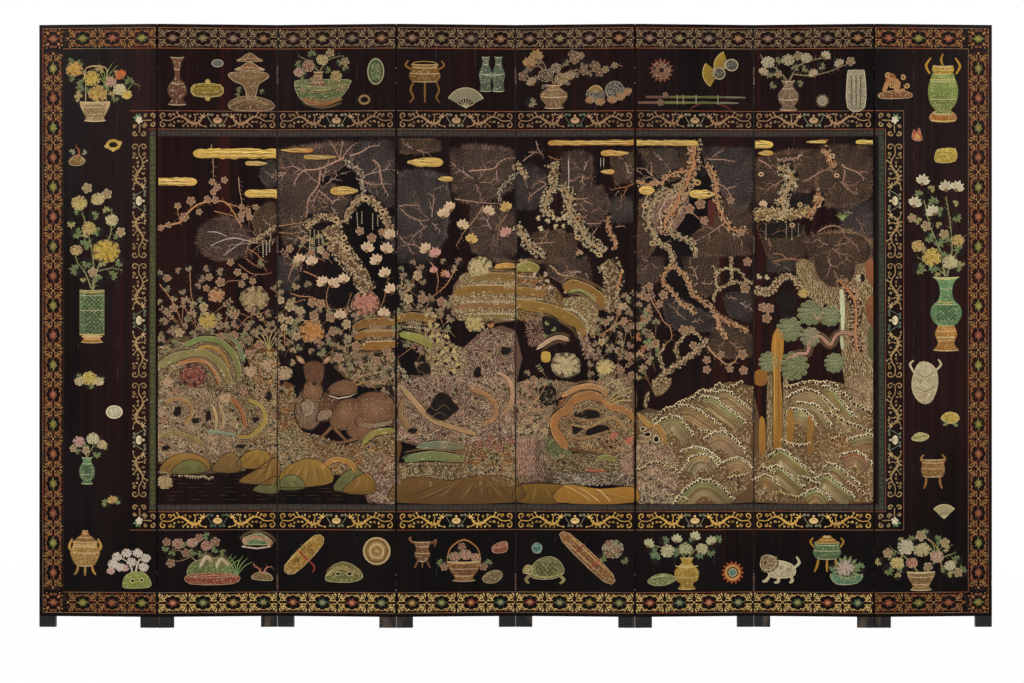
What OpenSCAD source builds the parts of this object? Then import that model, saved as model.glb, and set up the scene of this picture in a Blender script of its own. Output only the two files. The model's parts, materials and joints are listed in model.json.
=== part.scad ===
// Folding lacquer screen of eight leaves, standing in a shallow zigzag.
//
// A leaf is a core of upright boards, held edge to edge by bamboo pins and tongued into a cleat across the
// top and another across the bottom. A thick ground and lacquer covers each face, with the lines of the
// borders cut into it. Two feet are tenoned into the bottom cleat.
// Iron pintle hinges join the leaves. Their axes stand proud of the back and of the front in turn, so
// that the leaves fold flat against each other.
//
// Each leaf is drawn about its own middle, standing on Z = 0 with its front towards -Y, and is then set
// in its place in the row. All sizes are in millimetres.

/* [Leaves] */
// Width of one leaf
leaf_w = 414.9; // [320:0.1:600]
// Height of one leaf above its feet
leaf_h = 2062; // [1500:1:2600]
// Thickness of the wooden core
core_t = 18; // [16:0.5:30]
// Thickness of the ground and lacquer on each face
coat_t = 2; // [1:0.25:4]
// Gap between the edges of neighbouring leaves when they lie in one line
edge_gap = 0.1; // [0.1:0.1:5]
// Degrees that each leaf is turned out of that line when the screen stands
leaf_turn = 5; // [2:0.5:25]

/* [Core] */
// Number of upright boards side by side in a leaf
board_count = 3; // [2:1:5]
// Width of the glue line between two boards
glue_line = 0.2; // [0.1:0.05:0.5]
// Height of the cleat across the top
top_cleat_h = 46; // [30:1:80]
// Height of the cleat across the bottom
bottom_cleat_h = 62; // [50:1:85]
// Thickness of the tongues on the boards' ends
tongue_t = 6; // [4:0.5:9]
// Length of the tongues on the boards' ends
tongue_l = 14; // [8:1:25]
// Number of bamboo pins along each joint between two boards
pin_count = 5; // [2:1:8]
// Diameter of a bamboo pin
pin_d = 7; // [4:0.5:10]
// Length of a bamboo pin
pin_l = 50; // [30:1:70]
// Distance from a cleat to the nearest bamboo pin
pin_inset = 110; // [60:1:200]
// Slack around tongues, tenons, bamboo pins and hinge tangs
glue_gap = 0.1; // [0.05:0.05:0.3]

/* [Feet] */
// Width of a foot
foot_w = 57; // [42:1:90]
// Height of a foot under the leaf
foot_h = 38; // [20:1:80]
// Thickness of a foot
foot_t = 20; // [14:0.5:22]
// Width of the tenon on a foot
tenon_w = 30; // [15:1:38]
// Thickness of the tenon on a foot
tenon_t = 8; // [5:0.5:11]
// Height of the tenon on a foot
tenon_h = 30; // [15:1:35]

/* [Hinges] */
// Number of hinges on each seam
hinge_count = 4; // [2:1:6]
// Distance from the top edge of a leaf down to the middle of its top hinge
hinge_drop = 178; // [90:1:300]
// Distance from the bottom edge of a leaf up to the middle of its bottom hinge
hinge_rise = 118; // [95:1:300]
// How far the hinge axes stand proud of the faces
axis_proud = 1; // [0.5:0.25:2]
// Outer radius of a knuckle
knuckle_r = 4; // [3.25:0.25:5]
// Height of one knuckle
knuckle_h = 24; // [18:1:40]
// Radius of the pin that stands on the lower knuckle
hinge_pin_r = 2; // [1.25:0.25:2.5]
// Running clearance between that pin and the bore of the eye
running_gap = 0.06; // [0.02:0.01:0.1]
// Gap between the lower knuckle and the eye above it
seat_gap = 0.3; // [0.1:0.1:0.8]
// How far the pin stands out of the top of the eye
pin_stand = 2.5; // [0:0.5:5]
// Thickness of a hinge's tang
tang_t = 2.5; // [1.5:0.25:4]
// Length of the tang that is let into the core
tang_l = 34; // [20:1:60]
// Height of a hinge's tang
tang_h = 16; // [8:1:18]
// Clearance around the knuckles in their housings
housing_gap = 1.5; // [1:0.25:3]

/* [Incised lines] */
// Width of the lines that are cut into the lacquer
line_w = 2.4; // [1:0.1:5]
// Depth of those lines
line_d = 0.4; // [0.2:0.1:0.9]
// Width of the plain margin outside the outer border
margin_w = 13; // [8:0.5:30]
// Width of the outer border
border_w = 71; // [40:1:90]
// Height of the field above and below the picture
field_h = 218; // [120:1:300]
// Width of the field at the sides of the picture
field_w = 229; // [120:1:229]
// Width of the inner border
band_w = 64; // [30:1:64]
// Width of the fret next to the picture
fret_w = 32; // [12:1:32]

/* [Hidden] */
$fn = 48;
leaf_count = 8; // the record names the bodies and the joints of eight leaves
LEAVES = [1 : leaf_count];

over = 1; // how far a cut runs past the face that it opens

leaf_t = core_t + 2 * coat_t;
top_z = foot_h + leaf_h;
core_bottom_z = foot_h + bottom_cleat_h;
core_top_z = top_z - top_cleat_h;
board_step = (leaf_w + glue_line) / board_count;
board_w = board_step - glue_line;

// The hinge axes, out from the middle of a leaf
axis_x = (leaf_w + edge_gap) / 2;
axis_y = leaf_t / 2 + axis_proud;
leaf_pitch = 2 * (axis_x * cos(leaf_turn) + axis_y * sin(leaf_turn));

// The housing that the knuckles turn in, in from the edge and the face of a leaf
housing_x = knuckle_r - edge_gap / 2 + housing_gap;
housing_y = max(knuckle_r - axis_proud + housing_gap, coat_t + tang_t + glue_gap);
housing_below = seat_gap / 2 + knuckle_h + housing_gap;
housing_above = seat_gap / 2 + knuckle_h + pin_stand + housing_gap;
neck_top = axis_proud + (coat_t - axis_proud) / 2; // from the axis plane down to the neck

hinge_low_z = foot_h + hinge_rise;
hinge_high_z = top_z - hinge_drop;
hinge_step = (hinge_high_z - hinge_low_z) / (hinge_count - 1);

pin_low_z = core_bottom_z + pin_inset;
pin_step = (core_top_z - pin_inset - pin_low_z) / (pin_count - 1);

// The five frames of incised lines: how far each lies in from the top and bottom, and from the sides
frame_drops = [
    margin_w,
    margin_w + border_w,
    margin_w + border_w + field_h,
    margin_w + border_w + field_h + band_w,
    margin_w + border_w + field_h + band_w + fret_w
];
frame_insets = [
    margin_w,
    margin_w + border_w,
    margin_w + border_w + field_w,
    margin_w + border_w + field_w + band_w,
    margin_w + border_w + field_w + band_w + fret_w
];
FRONT_FRAMES = [0, 1, 2, 3, 4];
BACK_FRAMES = [0, 1];

// Which way a leaf is turned, and on which face the seam to its right has its axis: -1 front, 1 back
function turn_of(i) = (i % 2 == 1 ? -1 : 1) * leaf_turn;
function seam_side(i) = i % 2 == 1 ? 1 : -1;
function hinge_z(k) = hinge_low_z + k * hinge_step;

module in_place(i) {
    translate([(i - (leaf_count + 1) / 2) * leaf_pitch, 0, 0])
        rotate([0, 0, turn_of(i)])
            children();
}

// Turns what is drawn for an axis at the right-hand edge and the back to another edge (-1 left) and face
module at_hinges(edge, side) {
    for (k = [0 : hinge_count - 1])
        translate([edge * axis_x, side * axis_y, hinge_z(k)])
            mirror([edge < 0 ? 1 : 0, 0, 0])
                mirror([0, side < 0 ? 1 : 0, 0])
                    children();
}

// A box from one corner to the opposite one
module block(low, high) {
    translate(low)
        cube(high - low);
}

// From the axis: the housing of the knuckles, and the recess of a tang at a height above the hinge's middle
module housing() {
    block(
        [-edge_gap / 2 - housing_x, -axis_proud - housing_y, -housing_below],
        [over, over, housing_above]
    );
}

module tang(middle_z, slack) {
    inner_x = edge_gap / 2 + housing_x;
    face_y = axis_proud + coat_t;
    block(
        [-inner_x - tang_l - slack, -face_y - tang_t - slack, middle_z - tang_h / 2 - slack],
        [-inner_x + over, -face_y, middle_z + tang_h / 2 + slack]
    );
}

eye_z = (seat_gap + knuckle_h) / 2;

// What the hinges of leaf i take out of its core and coats
module hinge_cuts(i) {
    if (i > 1)
        at_hinges(-1, seam_side(i - 1)) {
            housing();
            tang(-eye_z, glue_gap);
        }
    if (i < leaf_count)
        at_hinges(1, seam_side(i)) {
            housing();
            tang(eye_z, glue_gap);
        }
}

module knuckle(middle_z) {
    translate([0, 0, middle_z - knuckle_h / 2])
        cylinder(r = knuckle_r, h = knuckle_h);
    tang(middle_z, 0);
    block(
        [-edge_gap / 2 - housing_x, -axis_proud - coat_t - tang_t, middle_z - tang_h / 2],
        [0, -neck_top, middle_z + tang_h / 2]
    );
}

module pin_holes(radius, length) {
    for (j = [1 : board_count - 1], k = [0 : pin_count - 1])
        translate([
            j * board_step - (leaf_w + glue_line + length) / 2,
            0,
            pin_low_z + k * pin_step
        ])
            rotate([0, 90, 0])
                cylinder(r = radius, h = length);
}

module boards(i) {
    color("#6b4a2f")
        difference() {
            for (j = [0 : board_count - 1])
                translate([j * board_step - leaf_w / 2, 0, 0]) {
                    block([0, -core_t / 2, core_bottom_z], [board_w, core_t / 2, core_top_z]);
                    block(
                        [0, -tongue_t / 2, core_bottom_z - tongue_l],
                        [board_w, tongue_t / 2, core_top_z + tongue_l]
                    );
                }
            pin_holes(pin_d / 2 + glue_gap, pin_l + 2 * glue_gap);
            hinge_cuts(i);
        }
}

module pins() {
    color("#b89a62")
        pin_holes(pin_d / 2, pin_l);
}

module tenons(slack) {
    for (edge = [-1, 1])
        translate([edge * (leaf_w - foot_w) / 2, 0, foot_h])
            block(
                [-tenon_w / 2 - slack, -tenon_t / 2 - slack, -over],
                [tenon_w / 2 + slack, tenon_t / 2 + slack, tenon_h + slack]
            );
}

module cleats(i) {
    groove_y = tongue_t / 2 + glue_gap;
    groove_l = tongue_l + glue_gap;
    half_w = leaf_w / 2;
    color("#5e402a")
        difference() {
            union() {
                block([-half_w, -core_t / 2, foot_h], [half_w, core_t / 2, core_bottom_z]);
                block([-half_w, -core_t / 2, core_top_z], [half_w, core_t / 2, top_z]);
            }
            block(
                [-half_w - over, -groove_y, core_bottom_z - groove_l],
                [half_w + over, groove_y, core_bottom_z + over]
            );
            block(
                [-half_w - over, -groove_y, core_top_z - over],
                [half_w + over, groove_y, core_top_z + groove_l]
            );
            tenons(glue_gap);
            hinge_cuts(i);
        }
}

module feet() {
    color("#15110f") {
        for (edge = [-1, 1])
            translate([edge * (leaf_w - foot_w) / 2, 0, 0])
                block([-foot_w / 2, -foot_t / 2, 0], [foot_w / 2, foot_t / 2, foot_h]);
        tenons(0);
    }
}

// The cuts of one frame of lines that fall on leaf i, in the face at Y = 0 and into the coat behind it
module frame_lines(i, drop, inset) {
    half_line = line_w / 2;
    low_x = i == 1 ? inset - leaf_w / 2 - half_line : -leaf_w / 2 - over;
    high_x = i == leaf_count ? leaf_w / 2 - inset + half_line : leaf_w / 2 + over;
    low_z = foot_h + drop - half_line;
    high_z = top_z - drop + half_line;
    for (z = [low_z, high_z - line_w])
        block([low_x, -over, z], [high_x, line_d, z + line_w]);
    if (i == 1)
        block([low_x, -over, low_z], [low_x + line_w, line_d, high_z]);
    if (i == leaf_count)
        block([high_x - line_w, -over, low_z], [high_x, line_d, high_z]);
}

module lacquer(i) {
    color("#1d1210")
        difference() {
            for (y = [-leaf_t / 2, core_t / 2])
                block([-leaf_w / 2, y, foot_h], [leaf_w / 2, y + coat_t, top_z]);
            hinge_cuts(i);
            translate([0, -leaf_t / 2, 0])
                for (k = FRONT_FRAMES)
                    frame_lines(i, frame_drops[k], frame_insets[k]);
            translate([0, leaf_t / 2, 0])
                mirror([0, 1, 0])
                    for (k = BACK_FRAMES)
                        frame_lines(i, frame_drops[k], frame_insets[k]);
        }
}

// The upper half of each hinge on seam i, let into the right-hand edge of leaf i
module eyes(i) {
    color("#4a4038")
        at_hinges(1, seam_side(i))
            difference() {
                knuckle(eye_z);
                translate([0, 0, eye_z - knuckle_h / 2 - over])
                    cylinder(r = hinge_pin_r + running_gap, h = knuckle_h + 2 * over);
            }
}

// The lower half, let into the left-hand edge of leaf i + 1, with the pin that the eye drops on to
module pintles(i) {
    color("#554a40")
        at_hinges(-1, seam_side(i)) {
            knuckle(-eye_z);
            translate([0, 0, -eye_z])
                cylinder(r = hinge_pin_r, h = 2 * eye_z + knuckle_h / 2 + pin_stand);
        }
}

for (i = LEAVES) {
    in_place(i) boards(i);
    in_place(i) pins();
    in_place(i) cleats(i);
    in_place(i) feet();
    in_place(i) lacquer(i);
}
for (i = [1 : leaf_count - 1]) {
    in_place(i) eyes(i);
    in_place(i + 1) pintles(i);
}
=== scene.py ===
"""Eight-leaf folding lacquer screen: its finishes, and the cut and painted decoration of every leaf.

The decoration is laid out on a drawing of the unfolded front. One square of the drawing is about 3.49 mm,
x runs to the right and y runs down. A Pen draws on a Relief in those squares, and each Relief is then set
on the faces of the leaves as thin closed paintwork, one piece to a leaf.
"""

import functools
import json
import math
import random

import bpy
import numpy as np
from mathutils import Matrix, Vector

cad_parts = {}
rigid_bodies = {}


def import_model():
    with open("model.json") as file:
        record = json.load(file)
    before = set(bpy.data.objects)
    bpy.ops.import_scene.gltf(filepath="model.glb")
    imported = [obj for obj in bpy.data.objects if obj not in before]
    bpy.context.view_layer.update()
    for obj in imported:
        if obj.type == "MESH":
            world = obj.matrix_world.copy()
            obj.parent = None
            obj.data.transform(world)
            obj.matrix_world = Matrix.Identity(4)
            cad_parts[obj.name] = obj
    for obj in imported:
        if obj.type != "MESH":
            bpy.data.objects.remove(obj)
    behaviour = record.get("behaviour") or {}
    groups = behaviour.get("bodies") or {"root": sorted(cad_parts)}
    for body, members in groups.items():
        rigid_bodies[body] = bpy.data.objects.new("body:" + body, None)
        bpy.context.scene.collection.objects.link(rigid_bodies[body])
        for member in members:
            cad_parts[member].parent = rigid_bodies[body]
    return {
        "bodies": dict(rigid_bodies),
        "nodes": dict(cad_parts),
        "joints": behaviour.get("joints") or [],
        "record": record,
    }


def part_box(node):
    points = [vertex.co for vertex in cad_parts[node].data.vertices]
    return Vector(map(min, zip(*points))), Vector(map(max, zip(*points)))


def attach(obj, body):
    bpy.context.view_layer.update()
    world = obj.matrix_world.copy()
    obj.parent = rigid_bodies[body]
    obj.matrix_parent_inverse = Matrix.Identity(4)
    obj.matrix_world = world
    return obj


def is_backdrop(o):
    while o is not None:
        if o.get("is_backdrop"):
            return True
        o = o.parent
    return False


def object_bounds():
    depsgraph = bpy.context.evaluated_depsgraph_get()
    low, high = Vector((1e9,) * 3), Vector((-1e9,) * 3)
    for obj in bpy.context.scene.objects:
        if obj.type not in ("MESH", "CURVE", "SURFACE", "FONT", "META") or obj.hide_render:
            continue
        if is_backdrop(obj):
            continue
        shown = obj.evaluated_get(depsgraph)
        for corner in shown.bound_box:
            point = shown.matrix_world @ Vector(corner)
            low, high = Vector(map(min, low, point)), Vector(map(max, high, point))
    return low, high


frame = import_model()
cad_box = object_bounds()

# ---------------------------------------------------------------- sizes, in metres, and the drawing

LEAVES = 8
LEAF_W = 0.4149
LEAF_T = 0.022
LEAF_TURN = math.radians(5)
FOLDS = {j["name"]: j["pos_m"] for j in frame["joints"]}
LEAF_PITCH = FOLDS["seam_2_fold"][0] - FOLDS["seam_1_fold"][0]
LEAF_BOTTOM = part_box("leaf_1_lacquer")[0][2]
LEAF_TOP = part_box("leaf_1_lacquer")[1][2]

# The drawing's seams, from the left edge of leaf 1 to the right edge of leaf 8, and its top and bottom
SEAMS = (39.5, 158.0, 276.5, 396.0, 516.5, 636.0, 755.5, 875.0, 992.0)
DRAWING_TOP, DRAWING_BOTTOM = 24.7, 615.6
SQUARE = (LEAF_TOP - LEAF_BOTTOM) / (DRAWING_BOTTOM - DRAWING_TOP)

SUNK = 0.00006  # how far a shape's underside lies in what it is on
RELIEF = 0.00022  # usual height of a shape
LAYER = 0.0003  # from one layer of paintwork to the next
HIGHEST = 0.00092  # the top of the third layer
PAINT_EDGE = 0.0013  # from the edge of a leaf to the nearest paint
POINTED = 0.21  # a line whose half width ends below this, on the drawing, ends in a point
LEAST_STEP = 0.02  # points of a line that are nearer than this, on the drawing, are one
LEAST_AREA = 0.01  # a smaller shape, on the drawing, is left out
LINE_FILL = (0.00034, 0.00003)  # the underside and the crest of the paint in a cut line, below the face


@functools.lru_cache(None)
def srgb(text):
    """A colour written as #rrggbb, as the shader's linear values."""
    parts = [int(text[k : k + 2], 16) / 255 for k in (1, 3, 5)]
    return tuple(p / 12.92 if p <= 0.04045 else ((p + 0.055) / 1.055) ** 2.4 for p in parts)


def leaf_at(x):
    """The leaf, from 1, that a place on the drawing falls on."""
    for leaf in range(1, LEAVES):
        if x < SEAMS[leaf]:
            return leaf
    return LEAVES


def leaf_frame(leaf):
    """A leaf's middle along the row, and the way that it is turned."""
    turn = LEAF_TURN * (-1 if leaf % 2 else 1)
    return (leaf - (LEAVES + 1) / 2) * LEAF_PITCH, turn


# ---------------------------------------------------------------- tints and chance

dice = random.Random(8)


def linear(tint):
    """A tint as linear values, however it is written."""
    return srgb(tint) if isinstance(tint, str) else tint


def vary(tint, amount=0.16):
    """The tint, a little lighter or darker."""
    k = 1 + dice.uniform(-amount, amount)
    return tuple(c * k for c in linear(tint))


def mix(a, b, t):
    """Part of the way, t, from one tint or point to another."""
    return tuple(p + (q - p) * t for p, q in zip(linear(a), linear(b)))


# ---------------------------------------------------------------- lines and outlines, on the drawing


def ring(x, y, rx, ry, n=12, start=0.0):
    """The corners of an ellipse."""
    return [
        (x + rx * math.cos(start + math.tau * k / n), y + ry * math.sin(start + math.tau * k / n))
        for k in range(n)
    ]


def arc(x, y, rx, ry, low, high, n=8):
    """Part of an ellipse, between two angles in degrees. 0 is to the right and 90 is down."""
    steps = [math.radians(low + (high - low) * k / n) for k in range(n + 1)]
    return [(x + rx * math.cos(a), y + ry * math.sin(a)) for a in steps]


def smooth(points, n=4, closed=False):
    """A curve through the points, with n steps between two of them."""
    if closed:
        p = [points[-1], *points, points[0], points[1]]
    else:
        p = [points[0], *points, points[-1]]
    out = []
    for a, b, c, d in zip(p, p[1:], p[2:], p[3:]):
        for k in range(n):
            t = k / n
            w = (-t + 2 * t * t - t**3, 2 - 5 * t * t + 3 * t**3, t + 4 * t * t - 3 * t**3, t**3 - t * t)
            out.append(tuple(sum(s * q[i] for s, q in zip(w, (a, b, c, d))) / 2 for i in (0, 1)))
    return out if closed else out + [tuple(points[-1])]


def spiral(x, y, r, start, turns=1.1, way=1, n=9):
    """A curl that winds in towards its middle, from an angle in degrees."""
    out = []
    for k in range(n + 1):
        a = math.radians(start) + way * math.tau * turns * k / n
        q = r * (1 - 0.75 * k / n)
        out.append((x + q * math.cos(a), y + q * math.sin(a)))
    return out


def petal(x, y, length, width, turn):
    """A pointed leaf or petal from its foot, along an angle in degrees."""
    c, s = math.cos(math.radians(turn)), math.sin(math.radians(turn))
    shape = [(0, 0), (0.3, 0.42), (0.65, 0.46), (1, 0), (0.65, -0.46), (0.3, -0.42)]
    return [
        (x + c * u * length - s * v * width, y + s * u * length + c * v * width) for u, v in shape
    ]


def polar(x, y, r, turn):
    """The point at a distance from another, at an angle in degrees."""
    return x + r * math.cos(math.radians(turn)), y + r * math.sin(math.radians(turn))


def along(points, step, start=0.0):
    """(x, y, angle in degrees) at even steps along a line."""
    left = start
    for (x0, y0), (x1, y1) in zip(points, points[1:]):
        length = math.hypot(x1 - x0, y1 - y0)
        turn = math.degrees(math.atan2(y1 - y0, x1 - x0))
        while left < length:
            yield x0 + (x1 - x0) * left / length, y0 + (y1 - y0) * left / length, turn
            left += step
        left -= length


def beside(points, away):
    """The line beside a line; away is up where the line runs to the right."""
    out = []
    for k, (x, y) in enumerate(points):
        (x0, y0), (x1, y1) = points[max(k - 1, 0)], points[min(k + 1, len(points) - 1)]
        size = math.hypot(x1 - x0, y1 - y0) or 1
        out.append((x + (y1 - y0) / size * away, y - (x1 - x0) / size * away))
    return out


def inside(x, y, outline):
    """Whether a place lies in an outline."""
    odd = False
    for (x0, y0), (x1, y1) in zip(outline, outline[1:] + outline[:1]):
        if (y0 > y) != (y1 > y) and x < x0 + (y - y0) * (x1 - x0) / (y1 - y0):
            odd = not odd
    return odd


def scatter(outline, step, loose=0.35):
    """Places all over an outline, row by row, each a little astray."""
    outline = list(outline)
    left, right = min(p[0] for p in outline), max(p[0] for p in outline)
    top, bottom = min(p[1] for p in outline), max(p[1] for p in outline)
    row = 0
    y = top + step / 2
    while y < bottom:
        x = left + step * (0.25 + 0.5 * (row % 2))
        while x < right:
            spot = (x + step * dice.uniform(-loose, loose), y + step * dice.uniform(-loose, loose))
            if inside(*spot, outline):
                yield spot
            x += step
        y += step * 0.87
        row += 1


def clip(points, edge, keep_right):
    """A polygon cut along an upright line."""
    out = []
    for (x0, y0), (x1, y1) in zip(points, points[1:] + points[:1]):
        in0, in1 = (x0 >= edge) == keep_right, (x1 >= edge) == keep_right
        if in0:
            out.append((x0, y0))
        if in0 != in1:
            out.append((edge, y0 + (y1 - y0) * (edge - x0) / (x1 - x0)))
    return out


def outline_parts(points):
    """(leaf, outline) for each leaf that an outline reaches, anticlockwise as seen."""
    first, last = leaf_at(min(p[0] for p in points)), leaf_at(max(p[0] for p in points))
    for leaf in range(first, last + 1):
        part = points
        if leaf > first:
            part = clip(part, SEAMS[leaf - 1], True)
        if leaf < last:
            part = clip(part, SEAMS[leaf], False)
        twice_area = sum(a[0] * b[1] - b[0] * a[1] for a, b in zip(part, part[1:] + part[:1]))
        if len(part) > 2 and abs(twice_area) > 2 * LEAST_AREA:
            yield leaf, part if twice_area < 0 else part[::-1]


def line_parts(points):
    """(leaf, [(x, y, share of the line)]) for each stretch of a line that lies on one leaf."""
    total = len(points) - 1
    leaf, run = leaf_at(points[0][0]), [(*points[0], 0.0)]
    for k in range(total):
        (x0, y0), (x1, y1) = points[k], points[k + 1]
        while leaf != leaf_at(x1):
            step = 1 if x1 > x0 else -1
            edge = SEAMS[leaf] if step > 0 else SEAMS[leaf - 1]
            t = (edge - x0) / (x1 - x0)
            cut = (edge, y0 + (y1 - y0) * t, (k + t) / total)
            yield leaf, run + [cut]
            leaf, run = leaf + step, [cut]
        run.append((x1, y1, (k + 1) / total))
    yield leaf, run


# ---------------------------------------------------------------- relief and pen


class Relief:
    """Thin paintwork of one kind, made of many small closed shapes that lie in layers."""

    def __init__(self, name, side=-1, frame=None):
        self.name, self.side = name, side
        self.frame = frame  # left, top, right and bottom of the only part of the drawing that is painted
        self.leaves = {}

    def add(self, leaf, layer, points, tints, under, over):
        """Keeps a shape. Points are (x, y, height above the layer); faces are listed anticlockwise."""
        if self.frame:
            left, top, right, bottom = self.frame
            off_leaf = not leaf_at(left) <= leaf <= leaf_at(right - 1)
            if off_leaf or not any(left < p[0] < right and top < p[1] < bottom for p in points):
                return
            points = [(min(max(p[0], left), right), min(max(p[1], top), bottom), p[2]) for p in points]
        self.leaves.setdefault(leaf, []).append((layer, points, tints, under, over))

    def dome(self, points, layer, tint, heart, height):
        """A low swelling over an outline that its middle can see all of."""
        for leaf, part in outline_parts(points):
            n = len(part)
            middle = (sum(p[0] for p in part) / n, sum(p[1] for p in part) / n, height)
            spots = [(*p, -SUNK) for p in part] + [middle]
            over = [(k, (k + 1) % n, n) for k in range(n)]
            self.add(leaf, layer, spots, [tint] * n + [heart], [tuple(range(n - 1, -1, -1))], over)

    def plate(self, points, layer, tint, foot, height):
        """A flat patch with upright edges, of any outline, its tint turning to another at its foot."""
        top = min(p[1] for p in points)
        tall = max(p[1] for p in points) - top or 1
        for leaf, part in outline_parts(points):
            n = len(part)
            spots = [(*p, -SUNK) for p in part] + [(*p, height) for p in part]
            tints = [mix(tint, foot, (p[1] - top) / tall) for p in spots]
            over = [(k, (k + 1) % n, n + (k + 1) % n, n + k) for k in range(n)]
            over.append(tuple(range(n, 2 * n)))
            self.add(leaf, layer, spots, tints, [tuple(range(n - 1, -1, -1))], over)

    def stroke(self, points, layer, width, tint, tip, height, base=-SUNK):
        """A ridge along a line. width is one value, or a list of values spread along the line."""
        widths = width if isinstance(width, (list, tuple)) else (width, width)
        for leaf, run in line_parts(points):
            run = [p for k, p in enumerate(run) if not k or math.dist(p[:2], run[k - 1][:2]) > LEAST_STEP]
            if len(run) < 2:
                continue
            spots, tints, cuts = [], [], []
            for k, (x, y, t) in enumerate(run):
                a, b = run[max(k - 1, 0)], run[min(k + 1, len(run) - 1)]
                dx, dy = b[0] - a[0], b[1] - a[1]
                size = math.hypot(dx, dy) or 1
                at = t * (len(widths) - 1)
                low = min(int(at), len(widths) - 2)
                half = (widths[low] + (widths[low + 1] - widths[low]) * (at - low)) / 2
                start = len(spots)
                if half < POINTED and (k == len(run) - 1 or (k == 0 and len(run) > 2)):
                    spots.append((x, y, base))
                    cuts.append([start] * 3)
                else:
                    nx, ny = dy / size * half, -dx / size * half
                    spots += [(x + nx, y + ny, base), (x, y, height), (x - nx, y - ny, base)]
                    cuts.append([start, start + 1, start + 2])
                tints += [mix(tint, tip, t)] * (len(spots) - start)
            under, over = [], []
            for (a, b, c), (d, e, f) in zip(cuts, cuts[1:]):
                under.append((a, d, f, c))
                over += [(a, b, e, d), (b, c, f, e)]
            over += [cuts[0][::-1], cuts[-1]]
            under, over = [
                [face for face in (tuple(dict.fromkeys(corners)) for corners in faces) if len(face) > 2]
                for faces in (under, over)
            ]
            self.add(leaf, layer, spots, tints, under, over)

    def gather(self, shapes):
        """One leaf's points, tints and faces. Undersides come first, and then each layer in its turn."""
        points, tints, under, over = [], [], [], []
        shapes = sorted(shapes, key=lambda s: s[0])
        lift = min(LAYER, (HIGHEST - RELIEF) / (shapes[-1][0] or 1))
        for layer, spots, colours, below, above in shapes:
            start = len(points)
            points += [(x, y, h + layer * lift) for x, y, h in spots]
            tints += colours
            under += [tuple(start + k for k in face) for face in below]
            over += [tuple(start + k for k in face) for face in above]
        return np.array(points), tints, under + over

    def place(self, leaf, points):
        """Puts points of the drawing on the face of a leaf, in the room."""
        left, right = SEAMS[leaf - 1], SEAMS[leaf]
        x = ((points[:, 0] - left) / (right - left) - 0.5) * LEAF_PITCH
        x = x.clip(PAINT_EDGE - LEAF_W / 2, LEAF_W / 2 - PAINT_EDGE)
        # Towards the edges the paint thins, so that it stays within the corner of the leaf
        thin = ((LEAF_W / 2 - abs(x)) * math.sin(LEAF_TURN) / HIGHEST).clip(0, 1)
        height = np.where(points[:, 2] > 0, points[:, 2] * thin, points[:, 2])
        y = self.side * (LEAF_T / 2 + height)
        z = LEAF_TOP - (points[:, 1] - DRAWING_TOP) * SQUARE
        x = x * -self.side
        middle, turn = leaf_frame(leaf)
        return np.stack(
            [middle + x * math.cos(turn) - y * math.sin(turn), x * math.sin(turn) + y * math.cos(turn), z],
            axis=1,
        )

    def build(self, material):
        """Makes the pieces, each riding on its leaf."""
        for leaf, shapes in sorted(self.leaves.items()):
            points, tints, polygons = self.gather(shapes)
            mesh = bpy.data.meshes.new(f"{self.name}_{leaf}")
            mesh.from_pydata(self.place(leaf, points).tolist(), [], polygons)
            rgba = np.ones((len(points), 4), np.float32)
            rgba[:, :3] = tints
            mesh.color_attributes.new("tint", "FLOAT_COLOR", "POINT").data.foreach_set("color", rgba.ravel())
            flat = points[:, :2] * (1, -1)
            flat = (flat - flat.min(axis=0)) / np.ptp(flat, axis=0)
            corners = np.empty(len(mesh.loops), np.int32)
            mesh.loops.foreach_get("vertex_index", corners)
            mesh.uv_layers.new(name="OFBake").data.foreach_set("uv", flat[corners].ravel())
            piece = bpy.data.objects.new(mesh.name, mesh)
            bpy.context.collection.objects.link(piece)
            mesh.materials.append(material)
            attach(piece, f"leaf_{leaf}")


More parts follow.
